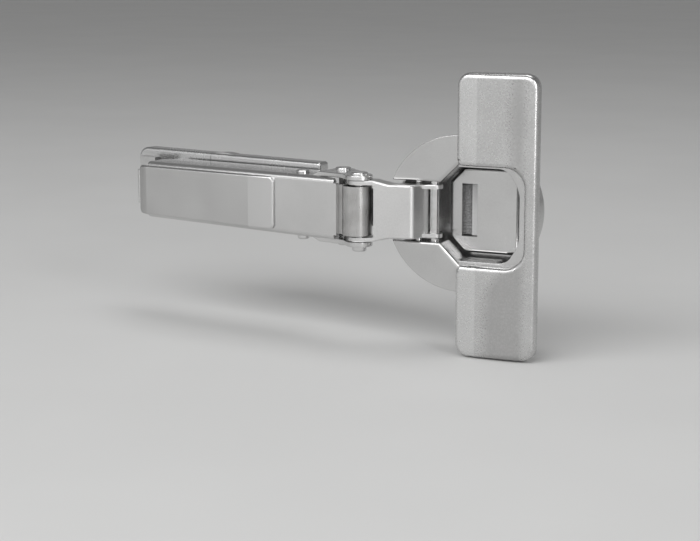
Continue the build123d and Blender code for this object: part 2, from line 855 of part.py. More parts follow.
# Cup: a round shell with a notch for the inner link
with BuildPart() as cup:
    with BuildSketch(door_plane(cup_bottom_h)):
        Circle(cup_radius)
    extrude(amount=-cup_bottom_h - rim_thickness)
    bottom_edge = cup.edges().filter_by(GeomType.CIRCLE).sort_by(out_of_door)[0]
    fillet(bottom_edge, cup_bottom_round)
    with BuildSketch(door_plane(cup_bottom_h + cup_bottom)):
        Circle(cup_radius - cup_wall)
    extrude(amount=-cup_bottom_h, mode=Mode.SUBTRACT)
    with BuildSketch(door_plane(-rim_thickness)):
        Circle(cup_radius)
        Circle(cup_radius - cup_neck_relief, mode=Mode.SUBTRACT)
    extrude(amount=-(cup_notch_depth + 0.2), mode=Mode.SUBTRACT)
    with BuildSketch(door_plane(-rim_thickness)):
        with Locations((-cup_radius, 0)):
            Rectangle(6, 2 * cup_notch_half_width)
    extrude(amount=-cup_notch_depth, mode=Mode.SUBTRACT)
    with BuildSketch(door_plane(-rim_thickness)):
        with Locations((-cup_radius, 0)):
            Rectangle(8, 2 * cup_mouth_half_width)
    extrude(amount=-cup_mouth_depth, mode=Mode.SUBTRACT)
save(cup.part, "cup")

# Rim plate: half round towards the arm, a long base under the wing lever, with two
# cheeks that hold the cup's pins and two lugs that carry the wing lever
throat = [
    (-cup_radius - 4, -slot_half_width),
    (slot_end_u, -slot_half_width),
    (throat_u, -throat_half_width),
    (rim_opening_right_u, -throat_half_width),
    (rim_opening_right_u, throat_half_width),
    (throat_u, throat_half_width),
    (slot_end_u, slot_half_width),
    (-cup_radius - 4, slot_half_width),
]
with BuildSketch(door_plane(-rim_thickness)) as rim_opening:
    with BuildLine():
        Polyline(*throat, close=True)
    make_face()
    Circle(cup_radius - cup_wall - 0.2, mode=Mode.INTERSECT)
    with Locations((-cup_radius, 0)):
        Rectangle(12, 2 * slot_half_width)
with BuildPart() as rim_plate:
    with BuildSketch(door_plane(-rim_thickness)):
        Circle(rim_radius)
        with Locations((rim_radius / 2 + 0.5, 0)):
            Rectangle(rim_radius + 1, 2 * rim_radius + 2, mode=Mode.SUBTRACT)
        with Locations((rim_right_u / 2, 0)):
            RectangleRounded(rim_right_u, 2 * rim_wing_half_length, rim_wing_corner)
    extrude(amount=rim_thickness)
    extrude(rim_opening.sketch, amount=rim_thickness, mode=Mode.SUBTRACT)
    for side in (1, -1):
        cheek_middle = side * (slot_half_width + cheek_sheet / 2)
        with BuildSketch(door_plane(-rim_thickness)):
            with Locations(((cheek_left_u + slot_end_u) / 2, cheek_middle)):
                Rectangle(slot_end_u - cheek_left_u, cheek_sheet)
        extrude(amount=-cheek_drop)
    with BuildSketch(level(0)):
        with Locations(outer_cup_place):
            Circle(outer_cup_pin_radius)
        with Locations(inner_cup_place):
            Circle(inner_cup_pin_radius)
    extrude(amount=slot_half_width + cheek_sheet + 1, both=True, mode=Mode.SUBTRACT)
    with BuildSketch(door_plane(-rim_thickness)):
        with Locations((dowel_u, dowel_spacing / 2), (dowel_u, -dowel_spacing / 2)):
            Circle(core_radius + core_play)
    extrude(amount=rim_thickness, mode=Mode.SUBTRACT)
    for side in (1, -1):
        with BuildSketch(level(side * wing_lug_z)):
            with Locations(door_point(*wing_pivot)):
                Circle(wing_lug_radius)
            with BuildLine():
                Polyline(
                    door_point(rim_right_u - 1.6, 0),
                    door_point(rim_right_u - 1.6, -rim_thickness),
                    door_point(rim_right_u, -rim_thickness),
                    door_point(wing_pivot[0] - 0.1, wing_pivot[1] - wing_lug_radius + 0.1),
                    door_point(*wing_pivot),
                    door_point(wing_pivot[0] - 0.65, wing_pivot[1] + 0.65),
                    close=True,
                )
            make_face()
            with Locations(door_point(*wing_pivot)):
                Circle(wing_pin_radius + pin_play, mode=Mode.SUBTRACT)
        extrude(amount=wing_lug_thickness / 2, both=True)
save(rim_plate.part, "rim_plate")

pin_reach = slot_half_width + cheek_sheet
save(cross_bar(outer_cup_place, outer_cup_pin_radius, -pin_reach, pin_reach), "cup_pin")
save(cross_bar(inner_cup_place, inner_cup_pin_radius, -pin_reach, pin_reach), "inner_cup_pin")

# Damper housing, whose top is the floor of the pocket
housing_bottom_h = cup_bottom_h + cup_bottom + seat_gap
housing_outline = [
    (housing_left_u, -housing_narrow_z),
    (housing_left_u + housing_wide_z - housing_narrow_z, -housing_wide_z),
    (housing_right_u, -housing_wide_z),
    (housing_right_u, housing_wide_z),
    (housing_left_u + housing_wide_z - housing_narrow_z, housing_wide_z),
    (housing_left_u, housing_narrow_z),
]
cavity_top_h = floor_h - housing_wall
cavity_bottom_h = housing_bottom_h + housing_wall
cavity_left_u = housing_left_u + housing_wall + 0.4
cavity_right_u = housing_right_u - 0.8
with BuildPart() as damper_housing:
    with BuildSketch(door_plane(housing_bottom_h)):
        with BuildLine():
            Polyline(*housing_outline, close=True)
        make_face()
    extrude(amount=floor_h - housing_bottom_h)
    roof_edges = damper_housing.faces().sort_by(out_of_door)[-1].edges()
    fillet(roof_edges, housing_edge_round)
    with BuildSketch(door_plane(housing_bottom_h)):
        Circle(cup_radius - cup_wall - 0.5)
    extrude(amount=floor_h - housing_bottom_h, mode=Mode.INTERSECT)
    with BuildSketch(door_plane(cavity_bottom_h)):
        with Locations(((cavity_left_u + cavity_right_u) / 2, 0)):
            Rectangle(cavity_right_u - cavity_left_u, 2 * (window_half_length + 0.5))
    extrude(amount=cavity_top_h - cavity_bottom_h, mode=Mode.SUBTRACT)
    with BuildSketch(door_plane(cavity_top_h - 0.1)):
        with Locations(((window_u[0] + window_u[1]) / 2, 0)):
            Rectangle(window_u[1] - window_u[0], 2 * window_half_length)
    extrude(amount=housing_wall + 1, mode=Mode.SUBTRACT)
save(damper_housing.part, "damper_housing")

# Damper slider: a rough flat strip and a lighter ramp, seen through the window
slider_left_u = cavity_left_u + slider_gap
slider_right_u = slider_left_u + slider_length
slider_top_h = cavity_top_h - 0.15
slider_bottom_h = cavity_bottom_h + 0.15
damper_axis_h = (cavity_top_h + cavity_bottom_h) / 2
slider_side = [
    (slider_left_u, slider_bottom_h),
    (slider_left_u, slider_top_h - slider_step),
    (slider_left_u + slider_length * 0.5, slider_top_h - slider_step),
    (slider_right_u - 0.6, slider_top_h),
    (slider_right_u, slider_top_h),
    (slider_right_u, slider_bottom_h),
]
with BuildPart() as damper_slider:
    with BuildSketch(level(0)):
        with BuildLine():
            Polyline(*[door_point(*p) for p in slider_side], close=True)
        make_face()
    extrude(amount=window_half_length - 0.2, both=True)
    for row in range(slider_teeth):
        tooth_z = (row - (slider_teeth - 1) / 2) * (2 * window_half_length - 1.5) / (slider_teeth - 1)
        with BuildSketch(door_plane(slider_top_h - slider_step)):
            with Locations((slider_left_u + slider_length * 0.25, tooth_z)):
                Rectangle(slider_length * 0.4, 0.35)
        extrude(amount=0.25)
save(damper_slider.part, "damper_slider")


def along_door(u, h):
    """A plane square to the door's width, for round pieces that lie along it."""
    x, y = door_point(u, h)
    return Plane(origin=(x, y, 0), x_dir=(0, 0, 1), z_dir=u_dir)


with BuildPart() as damper_rod:
    with BuildSketch(along_door(slider_right_u, damper_axis_h)):
        Circle(damper_rod_radius)
    extrude(amount=damper_left_u + 1.5 - slider_right_u)
save(damper_rod.part, "damper_rod")

with BuildPart() as damper_cylinder:
    with BuildSketch(along_door(damper_left_u, damper_axis_h)):
        Circle(damper_radius)
    extrude(amount=cavity_right_u - damper_left_u - seat_gap)
    fillet(damper_cylinder.edges().filter_by(GeomType.CIRCLE), 0.3)
    with BuildSketch(along_door(damper_left_u, damper_axis_h)):
        Circle(damper_rod_radius + pin_play)
    extrude(amount=1.5 + slider_travel + 0.5, mode=Mode.SUBTRACT)
save(damper_cylinder.part, "damper_cylinder")

# Wing lever: a cover that lifts about pins near its far edge
wing_length_u = wing_right_u - wing_left_u
wing_middle_u = (wing_left_u + wing_right_u) / 2
wing_roof_h = wing_top_h - wing_skin
hollow_z = (pocket_half_width + pocket_wall + wing_half_length - wing_wall) / 2
hollow_length = wing_half_length - wing_wall - pocket_half_width - pocket_wall
with BuildPart() as wing_lever:
    with BuildSketch(door_plane(wing_skirt_h)):
        with Locations((wing_middle_u, 0)):
            RectangleRounded(wing_length_u, 2 * wing_half_length, wing_corner_radius)
    extrude(amount=wing_top_h - wing_skirt_h)
    # the pocket, open towards the arm
    with BuildSketch(door_plane(wing_skirt_h)):
        with Locations((pocket_right_u / 2 - 5, 0)):
            RectangleRounded(pocket_right_u + 10, 2 * pocket_half_width, pocket_corner_radius)
        with Locations((0, 0)):
            Rectangle(pocket_right_u, 2 * pocket_half_width)
    extrude(amount=wing_top_h - wing_skirt_h, mode=Mode.SUBTRACT)
    # a shallow facet towards the arm, and rounded edges all round the top
    with BuildSketch(level(-wing_half_length)):
        with BuildLine():
            Polyline(
                door_point(wing_left_u - 1, wing_top_h + 1),
                door_point(wing_left_u - 1, wing_top_h - wing_facet_drop),
                door_point(wing_left_u + wing_facet_width, wing_top_h),
                door_point(wing_left_u + wing_facet_width, wing_top_h + 1),
                close=True,
            )
        make_face()
    extrude(amount=2 * wing_half_length, mode=Mode.SUBTRACT)
    far_edge = wing_lever.edges().filter_by(Axis.Z).sort_by(far_and_high)[-1]
    fillet(far_edge, wing_right_round)
    roof = wing_lever.faces().sort_by(out_of_door)[-1]
    rims = roof.edges().filter_by(Axis.Z, reverse=True)
    pocket_wall_edge = roof.edges().filter_by(Axis.Z).filter_by_position(
        Axis.Z, -pocket_half_width, pocket_half_width
    )
    fillet(rims + pocket_wall_edge, wing_edge_round)
    # clearance over the rim plate and, at the far edge, for the lift
    with BuildSketch(door_plane(wing_skirt_h)):
        with Locations((rim_right_u / 2 - 0.5, 0)):
            Rectangle(rim_right_u + 2, 2 * (rim_wing_half_length + 0.4))
    extrude(amount=wing_seat_gap - wing_skirt_h, mode=Mode.SUBTRACT)
    with BuildSketch(door_plane(wing_skirt_h)):
        with Locations((rim_right_u + 4.6, 0)):
            Rectangle(10, 2 * wing_half_length + 2)
    extrude(amount=-0.1 - wing_skirt_h, mode=Mode.SUBTRACT)
    # hollow wings
    with BuildSketch(door_plane(wing_skirt_h)):
        with Locations((wing_middle_u, hollow_z), (wing_middle_u, -hollow_z)):
            RectangleRounded(wing_length_u - 2 * wing_wall, hollow_length, wing_corner_radius - wing_wall)
    extrude(amount=wing_roof_h - wing_skirt_h, mode=Mode.SUBTRACT)
    # bearing blocks beside the rim plate's lugs
    for side in (1, -1):
        inner_block = side * (wing_lug_z - wing_lug_thickness / 2 - 0.2 - wing_block / 2)
        outer_block = side * (wing_lug_z + wing_lug_thickness / 2 + 0.2 + wing_block / 2)
        with BuildSketch(door_plane(-0.1)):
            with Locations((wing_pivot[0] + 0.15, inner_block), (wing_pivot[0] + 0.15, outer_block)):
                Rectangle(2.1, wing_block)
        extrude(amount=wing_roof_h + 0.1)
    for side in (1, -1):
        with BuildSketch(level(side * wing_lug_z)):
            with Locations(door_point(*wing_pivot)):
                Circle(wing_pin_radius)
        extrude(amount=wing_pin_half_length, both=True, mode=Mode.SUBTRACT)
save(wing_lever.part, "wing_lever")

pin_low = wing_lug_z - wing_pin_half_length
pin_high = wing_lug_z + wing_pin_half_length
save(cross_bar(door_point(*wing_pivot), wing_pin_radius, pin_low, pin_high), "lever_pin_upper")
save(cross_bar(door_point(*wing_pivot), wing_pin_radius, -pin_high, -pin_low), "lever_pin_lower")


def dowel_axis(z):
    """A plane through a dowel's axis, with u from the axis and h as its axes."""
    x, y = door_point(dowel_u, 0)
    return Plane(origin=(x, y, z), x_dir=u_dir, z_dir=(0, 0, -1))


# Expanding dowels and the cores that spread them
core_cone_start_h = core_bottom_h + core_cone_length
for side, name in ((1, "upper"), (-1, "lower")):
    dowel_z = side * dowel_spacing / 2
    outline = [(core_radius + core_play, -rim_thickness), (dowel_radius, -rim_thickness)]
    groove_h = -rim_thickness - dowel_plain_length
    while groove_h - dowel_groove_pitch > dowel_bottom_h:
        outline += [(dowel_radius, groove_h), (dowel_radius - dowel_groove, groove_h)]
        groove_h -= dowel_groove_pitch
        outline += [(dowel_radius, groove_h + 0.3)]
    outline += [
        (dowel_radius - dowel_groove, dowel_bottom_h),
        (core_cone_radius + core_play, dowel_bottom_h),
        (core_cone_radius + core_play, core_bottom_h),
        (core_radius + core_play, core_cone_start_h),
    ]
    with BuildPart() as dowel:
        with BuildSketch(dowel_axis(dowel_z)):
            with BuildLine():
                Polyline(*outline, close=True)
            make_face()
        revolve(axis=Axis(origin=(*door_point(dowel_u, 0), dowel_z), direction=h_dir))
        with BuildSketch(door_plane(dowel_bottom_h)):
            with Locations((dowel_u, dowel_z)):
                Rectangle(dowel_slit, 2 * dowel_radius + 1)
                Rectangle(2 * dowel_radius + 1, dowel_slit)
        extrude(amount=dowel_slit_length, mode=Mode.SUBTRACT)
    save(dowel.part, f"dowel_{name}")
    core_outline = [
        (0, core_head_h + core_head_length),
        (core_head_radius, core_head_h + core_head_length),
        (core_head_radius, core_head_h),
        (core_radius, core_head_h),
        (core_radius, core_cone_start_h),
        (core_cone_radius, core_bottom_h),
        (0, core_bottom_h),
    ]
    with BuildPart() as core:
        with BuildSketch(dowel_axis(dowel_z)):
            with BuildLine():
                Polyline(*core_outline, close=True)
            make_face()
        revolve(axis=Axis(origin=(*door_point(dowel_u, 0), dowel_z), direction=h_dir))
    save(core.part, f"dowel_core_{name}")

# Spring of the release lever, wound round its pivot
with BuildPart() as release_spring:
    with BuildSketch(level(-spring_half_length)):
        with Locations(lever_pivot_place):
            Circle(lever_pin_radius + pin_play + spring_wire)
            Circle(lever_pin_radius + pin_play, mode=Mode.SUBTRACT)
    extrude(amount=2 * spring_half_length)
save(release_spring.part, "release_spring")
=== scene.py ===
import json
import math

import bmesh
import bpy
from mathutils import Matrix, Vector


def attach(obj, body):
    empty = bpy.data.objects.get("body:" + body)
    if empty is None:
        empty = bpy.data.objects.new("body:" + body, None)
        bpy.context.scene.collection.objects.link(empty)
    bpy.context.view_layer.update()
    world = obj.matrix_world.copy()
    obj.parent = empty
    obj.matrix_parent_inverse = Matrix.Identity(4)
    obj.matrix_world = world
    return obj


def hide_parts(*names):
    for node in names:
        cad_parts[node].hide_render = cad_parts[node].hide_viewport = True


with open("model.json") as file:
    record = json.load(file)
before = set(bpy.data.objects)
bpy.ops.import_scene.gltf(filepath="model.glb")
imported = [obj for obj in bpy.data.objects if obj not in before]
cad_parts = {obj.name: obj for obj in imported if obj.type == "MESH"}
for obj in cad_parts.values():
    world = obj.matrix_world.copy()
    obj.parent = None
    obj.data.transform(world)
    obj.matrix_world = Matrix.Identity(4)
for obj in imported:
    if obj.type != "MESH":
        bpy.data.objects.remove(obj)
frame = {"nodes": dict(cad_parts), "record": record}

bl_info = {
    "name": "Concealed cabinet hinge",
    "version": (1, 0, 0),
    "blender": (4, 5, 0),
    "location": "3D View > Sidebar > Hinge",
    "description": "Dresses the clip-on cup hinge and sets up its studio",
    "category": "Add Mesh",
}

MM = 0.001
sharp_angle = math.radians(38)

# Cup pieces are drawn in door axes: along the door from the cup's centre, up, and out
# of the door. Arm pieces are drawn in panel axes: along the arm, up, and off the panel.
door_turn = math.radians(10.34)
cup_centre = (64.06, -3.88)
door_axes = Matrix(
    (
        (math.cos(door_turn), 0, math.sin(door_turn), cup_centre[0]),
        (math.sin(door_turn), 0, -math.cos(door_turn), cup_centre[1]),
        (0, 1, 0, 0),
        (0, 0, 0, 1),
    )
)
panel_axes = Matrix(((1, 0, 0, 0), (0, 0, -1, 0), (0, 1, 0, 0), (0, 0, 0, 1)))

# Door axes seen from above, for the link's side view: along, out, and then up.
door_side = door_axes @ Matrix(((1, 0, 0, 0), (0, 0, 1, 0), (0, 1, 0, 0), (0, 0, 0, 1)))


class Reading:
    """A number that varies over a surface, with Python's arithmetic on it."""

    def __init__(self, finish, socket):
        self.finish = finish
        self.socket = socket

    def __add__(self, other):
        return self.finish.maths("ADD", self, other)

    def __radd__(self, other):
        return self.finish.maths("ADD", other, self)

    def __sub__(self, other):
        return self.finish.maths("SUBTRACT", self, other)

    def __rsub__(self, other):
        return self.finish.maths("SUBTRACT", other, self)

    def __mul__(self, other):
        return self.finish.maths("MULTIPLY", self, other)

    def __rmul__(self, other):
        return self.finish.maths("MULTIPLY", other, self)

    def __truediv__(self, other):
        return self.finish.maths("DIVIDE", self, other)

    def __rtruediv__(self, other):
        return self.finish.maths("DIVIDE", other, self)

    def __pow__(self, other):
        return self.finish.maths("POWER", self, other)

    def clamped(self):
        return self.finish.maths("ADD", self, 0.0, clamp=True)

    def step(self, low, high):
        """Rises smoothly from 0 at low to 1 at high."""
        node = self.finish.node(
            "ShaderNodeMapRange",
            {"interpolation_type": "SMOOTHSTEP"},
            {"Value": self, "From Min": low, "From Max": high},
        )
        return Reading(self.finish, node.outputs["Result"])


class Nodes:
    """The nodes of a material or of the world."""

    def __init__(self, tree):
        self.tree = tree

    def node(self, kind, settings=None, values=None):
        """Adds a node; its settings are set first, then its sockets get values or links."""
        made = self.tree.nodes.new(kind)
        for name, setting in (settings or {}).items():
            if name == "stops":
                ramp = made.color_ramp
                ramp.interpolation = "EASE"
                while len(ramp.elements) < len(setting):
                    ramp.elements.new(1.0)
                for element, (position, colour) in zip(ramp.elements, setting):
                    element.position = position
                    element.color = colour
            else:
                setattr(made, name, setting)
        for name, value in (values or {}).items():
            socket = made.inputs[name]
            if isinstance(value, Reading):
                self.tree.links.new(value.socket, socket)
            elif isinstance(value, bpy.types.NodeSocket):
                self.tree.links.new(value, socket)
            else:
                socket.default_value = value
        return made

    def maths(self, operation, first, second, clamp=False):
        settings = {"operation": operation, "use_clamp": clamp}
        node = self.node("ShaderNodeMath", settings, {0: first, 1: second})
        return Reading(self, node.outputs[0])

    def split(self, place, axis):
        """One coordinate of a place or direction."""
        node = self.node("ShaderNodeSeparateXYZ", {}, {0: place})
        return Reading(self, node.outputs[axis])


class Finish(Nodes):
    """A material for some of the hinge's surfaces."""

    def __init__(self, name, **constants):
        self.material = bpy.data.materials.new(name)
        self.material.use_nodes = True
        super().__init__(self.material.node_tree)
        self.shader = self.tree.nodes["Principled BSDF"]
        for socket, value in constants.items():
            self.shader.inputs[socket].default_value = value
        self.place = self.node("ShaderNodeTexCoord").outputs["Object"]

    def mapped(self, centre=(0, 0, 0), turn=(0, 0, 0), stretch=(1, 1, 1)):
        """Object coordinates counted from a centre given in metres."""
        shift = self.node(
            "ShaderNodeMapping",
            {"vector_type": "TEXTURE"},
            {"Vector": self.place, "Location": centre, "Rotation": turn},
        )
        scaled = self.node(
            "ShaderNodeMapping",
            {"vector_type": "POINT"},
            {"Vector": shift.outputs["Vector"], "Scale": stretch},
        )
        return scaled.outputs["Vector"]

    def along_door(self):
        """How far a place lies along the door from the cup's centre, in metres."""
        centre = (cup_centre[0] * MM, cup_centre[1] * MM, 0)
        return self.split(self.mapped(centre=centre, turn=(0, 0, door_turn)), "X")

    def noise(self, size_mm, detail=2.0, rough=0.5, place=None):
        """Noise whose blots are about size_mm across."""
        node = self.node(
            "ShaderNodeTexNoise",
            {"noise_dimensions": "3D"},
            {
                "Vector": place or self.place,
                "Scale": 1.0 / (size_mm * MM),
                "Detail": detail,
                "Roughness": rough,
            },
        )
        return Reading(self, node.outputs["Fac"])

    def mix(self, amount, first, second):
        """A colour between two colours."""
        values = {0: amount, 6: first, 7: second}
        node = self.node("ShaderNodeMix", {"data_type": "RGBA"}, values)
        return node.outputs[2]

    def feed(self, socket, value):
        source = value.socket if isinstance(value, Reading) else value
        self.tree.links.new(source, self.shader.inputs[socket])

    def bump(self, *layers):
        """Bump nodes in a row, from pairs of a height reading and its depth in mm."""
        below = None
        for height, depth in layers:
            values = {"Height": height, "Distance": depth * MM, "Strength": 1.0}
            if below:
                values["Normal"] = below
            below = self.node("ShaderNodeBump", {}, values).outputs["Normal"]
        self.feed("Normal", below)


def grey(level, warm=0.0):
    """A neutral colour, a touch warmer by warm."""
    return (level * (1 + warm), level, level * (1 - warm), 1.0)


def stamped_nickel(name, level, rough, paler=None, darker=None):
    """Satin nickel on stamped sheet: faint clouds, drawing lines and a fine tooth.

    Along the arm it is painted lighter past one place and painted darker before another, in metres: a
    painted highlight and a painted shade on tilted facets.
    """
    finish = Finish(name, Metallic=1.0)
    cloud = finish.noise(14.0, 2.0)
    lines = finish.noise(0.45, 2.0, place=finish.mapped(stretch=(0.05, 1, 1)))
    tooth = finish.noise(0.38, 2.0, 0.6)
    tone = cloud * 0.6 + tooth * 0.4
    along = finish.split(finish.place, "X")
    # Painted highlight past paler
    if paler:
        tone = tone + along.step(paler, paler + 0.0001) * 0.42
    # Painted shade before darker
    if darker:
        tone = tone - (1.0 - along.step(darker, darker + 0.0001)) * 0.42
    shades = finish.mix(tone.step(0.0, 1.0), grey(level * 0.86, 0.006), grey(level * 1.14, 0.002))
    finish.feed("Base Color", shades)
    finish.feed("Roughness", rough + (cloud - 0.5) * 0.06 + (tooth - 0.5) * 0.10)
    finish.bump((lines, 0.0010), (tooth, 0.0014))
    return finish.material


def seamed_nickel(name, level, rough):
    """Satin nickel on the mounting plate, with the fine seam between its two layers."""
    finish = Finish(name, Metallic=1.0)
    cloud = finish.noise(10.0, 2.0)
    tooth = finish.noise(0.38, 2.0, 0.6)
    along = finish.split(finish.place, "X")
    seam = along.step(-0.01315, -0.01300) * (1.0 - along.step(-0.01300, -0.01285))
    tone = (cloud * 0.7 + tooth * 0.3).step(0.2, 0.8)
    shades = finish.mix(tone, grey(level * 0.94), grey(level * 1.06))
    finish.feed("Base Color", finish.mix(seam, shades, grey(level * 0.35)))
    finish.feed("Roughness", rough + (cloud - 0.5) * 0.08 + (tooth - 0.5) * 0.08)
    finish.bump((1.0 - seam, 0.03), (tooth, 0.0014))
    return finish.material


def window_plastic(name, level, rough=0.34):
    """Plastic of the damper's slider: a rough blasted side and a paler smooth side."""
    finish = Finish(name)
    along = finish.along_door()
    smooth = along.step(0.00015, 0.00035)
    grain = finish.noise(0.36, 3.0, 0.7)
    blasted = finish.mix(grain.step(0.35, 0.65), grey(level * 0.40), grey(level * 0.80))
    polished = finish.mix(grain.step(0.2, 0.8), grey(level * 1.30), grey(level * 1.45))
    finish.feed("Base Color", finish.mix(smooth, blasted, polished))
    finish.feed("Roughness", rough + 0.16 - smooth * 0.12 + (grain - 0.5) * 0.2)
    finish.bump((grain * (1.1 - smooth), 0.02))
    return finish.material


def cast_nickel(name, level, rough):
    """Nickel on the lever's casting: fine grains, most along the fall to the far edge, with a painted
    highlight on the facet by the arm and a painted shade along the fall, reaching further in below the
    middle.

    Its places are along the door from the cup's centre and up from its middle, in metres.
    """
    finish = Finish(name, Metallic=1.0)
    along = finish.along_door()
    # Painted highlight: the facet next to the arm gets a lighter colour
    facet = 1.0 - along.step(0.0050, 0.0056)
    # Painted shade: below the middle the dark band along the fall starts nearer the cup's centre
    below = 1.0 - finish.split(finish.place, "Z").step(-0.020, -0.008)
    start = 0.0122 - below * 0.0060
    # The band before the far edge gets more grain and a painted shade
    fall = ((along - start) * 300.0).clamped() * (1.0 - along.step(0.0155, 0.0185))
    swell = finish.noise(12.0, 2.0)
    grain = finish.noise(0.40, 2.0, 0.65)
    speck = finish.noise(0.9, 1.0)
    # Tone: swell and grain, plus the facet's painted highlight, minus the fall's painted shade
    tone = swell * 0.4 + grain * (0.3 + fall * 0.4) + facet * 0.22 - fall * 0.55 + 0.14
    shades = finish.mix(tone.step(0.0, 0.95), grey(level * 0.70, 0.006), grey(level * 1.16, 0.002))
    finish.feed("Base Color", shades)
    finish.feed("Roughness", rough + (grain - 0.5) * 0.12 + (speck - 0.5) * 0.06 + fall * 0.05)
    finish.bump((grain * (0.16 + fall * 0.7), 0.008))
    return finish.material


def bright_nickel(name, level, rough=0.17):
    """Bright nickel on turned pins and rivets."""
    finish = Finish(name, Metallic=1.0)
    blot = finish.noise(1.2, 2.0)
    rub = finish.noise(0.3, 2.0)
    shades = finish.mix(blot.step(0.3, 0.7), grey(level * 0.94, 0.006), grey(level * 1.04))
    finish.feed("Base Color", shades)
    finish.feed("Roughness", rough + (blot - 0.5) * 0.12 + (rub - 0.5) * 0.08)
    finish.bump((rub, 0.004))
    return finish.material


def plain_spring(name):
    """Unplated spring steel, rolled and a little darker."""
    finish = Finish(name, Metallic=1.0)
    rolled = finish.noise(0.3, 2.0, place=finish.mapped(stretch=(1, 1, 0.08)))
    cloud = finish.noise(5.0, 2.0)
    shades = finish.mix(cloud.step(0.3, 0.7), grey(0.44, 0.012), grey(0.54, 0.008))
    finish.feed("Base Color", shades)
    finish.feed("Roughness", 0.30 + (rolled - 0.5) * 0.16 + (cloud - 0.5) * 0.08)
    finish.bump((rolled, 0.006))
    return finish.material


def moulded_plastic(name, level, rough=0.45):
    """Moulded plastic with a fine spark-eroded skin."""
    finish = Finish(name)
    cloud = finish.noise(4.0, 2.0)
    skin = finish.noise(0.18, 2.0, 0.6)
    shades = finish.mix(cloud.step(0.3, 0.7), grey(level * 0.86), grey(level * 1.1))
    finish.feed("Base Color", shades)
    finish.feed("Roughness", rough + (cloud - 0.5) * 0.1 + (skin - 0.5) * 0.14)
    finish.bump((skin, 0.015))
    return finish.material


def flat_face(bm, corners, height):
    """A face from its corners in plan, at a height, in mm."""
    return bm.faces.new([bm.verts.new((x, y, height)) for x, y in corners])


def round_corners(bm, radius, chosen, segments=8):
    """Rounds the upright corners of a flat outline where chosen(x, y) holds."""
    verts = [v for v in bm.verts if chosen(v.co.x, v.co.y)]
    bevel(bm, verts, radius, segments, "VERTICES")


def bevel(bm, geom, offset, segments, affect="EDGES"):
    bmesh.ops.bevel(
        bm,
        geom=geom,
        offset=offset,
        offset_type="OFFSET",
        segments=segments,
        profile=0.5,
        affect=affect,
        clamp_overlap=True,
        material=-1,
    )


def extrude(bm, faces, move):
    """Extrudes faces by a move along the three axes."""
    made = bmesh.ops.extrude_face_region(bm, geom=faces)["geom"]
    verts = [item for item in made if isinstance(item, bmesh.types.BMVert)]
    bmesh.ops.translate(bm, vec=move, verts=verts)


def extrude_up(bm, faces, rise):
    extrude(bm, faces, (0, 0, rise))


def add_opposite(bm, signs):
    """Adds a copy of everything with the signs of its coordinates changed."""
    everything = bm.verts[:] + bm.edges[:] + bm.faces[:]
    made = bmesh.ops.duplicate(bm, geom=everything)["geom"]
    verts = [item for item in made if isinstance(item, bmesh.types.BMVert)]
    bmesh.ops.scale(bm, vec=signs, verts=verts)


def join(bm, part):
    """Adds a mesh that was worked on by itself, and frees it."""
    mesh = bpy.data.meshes.new("part")
    part.to_mesh(mesh)
    part.free()
    bm.from_mesh(mesh)
    bpy.data.meshes.remove(mesh)


def cut_across(bm, place, normal, drop=False, near=0.0001):
    """Cuts everything by a plane, and drops the side that its normal points to if asked.

    Corners nearer to the plane than near are taken as lying on it.
    """
    bmesh.ops.bisect_plane(
        bm,
        geom=bm.verts[:] + bm.edges[:] + bm.faces[:],
        dist=near,
        plane_co=place,
        plane_no=normal,
        clear_outer=drop,
    )


def brick(bm, low, high, soft=0.0, segments=2):
    """A small block between two corners, its edges softened."""
    made = bmesh.ops.create_cube(bm, size=1.0)["verts"]
    size = Vector(high) - Vector(low)
    bmesh.ops.scale(bm, vec=size, verts=made)
    bmesh.ops.translate(bm, vec=(Vector(high) + Vector(low)) / 2, verts=made)
    if soft:
        edges = list({e for v in made for e in v.link_edges})
        bevel(bm, edges, soft, segments)


def prism(bm, outline, near, far):
    """A solid from a side outline, along and out, reaching from near to far in height."""
    face = bm.faces.new([bm.verts.new((u, near, h)) for u, h in outline])
    extrude(bm, [face], (0, far - near, 0))


def rim_edges(bm, chosen=lambda e: True):
    """Edges between an upward face and a side face."""
    found = []
    for edge in bm.edges:
        if len(edge.link_faces) == 2 and chosen(edge):
            tilt = sorted(abs(f.normal.z) for f in edge.link_faces)
            up = max(f.normal.z for f in edge.link_faces)
            if tilt[0] < 0.4 and up > 0.7:
                found.append(edge)
    return found


def middle(edge):
    return (edge.verts[0].co + edge.verts[1].co) / 2


def weigh(bm, weight):
    """Tells the closing bevel how round each rim edge gets, as a share of its width."""
    layer = bm.edges.layers.float.get("bevel_weight_edge")
    if layer is None:
        layer = bm.edges.layers.float.new("bevel_weight_edge")
    for edge in rim_edges(bm):
        edge[layer] = weight(edge) if callable(weight) else weight


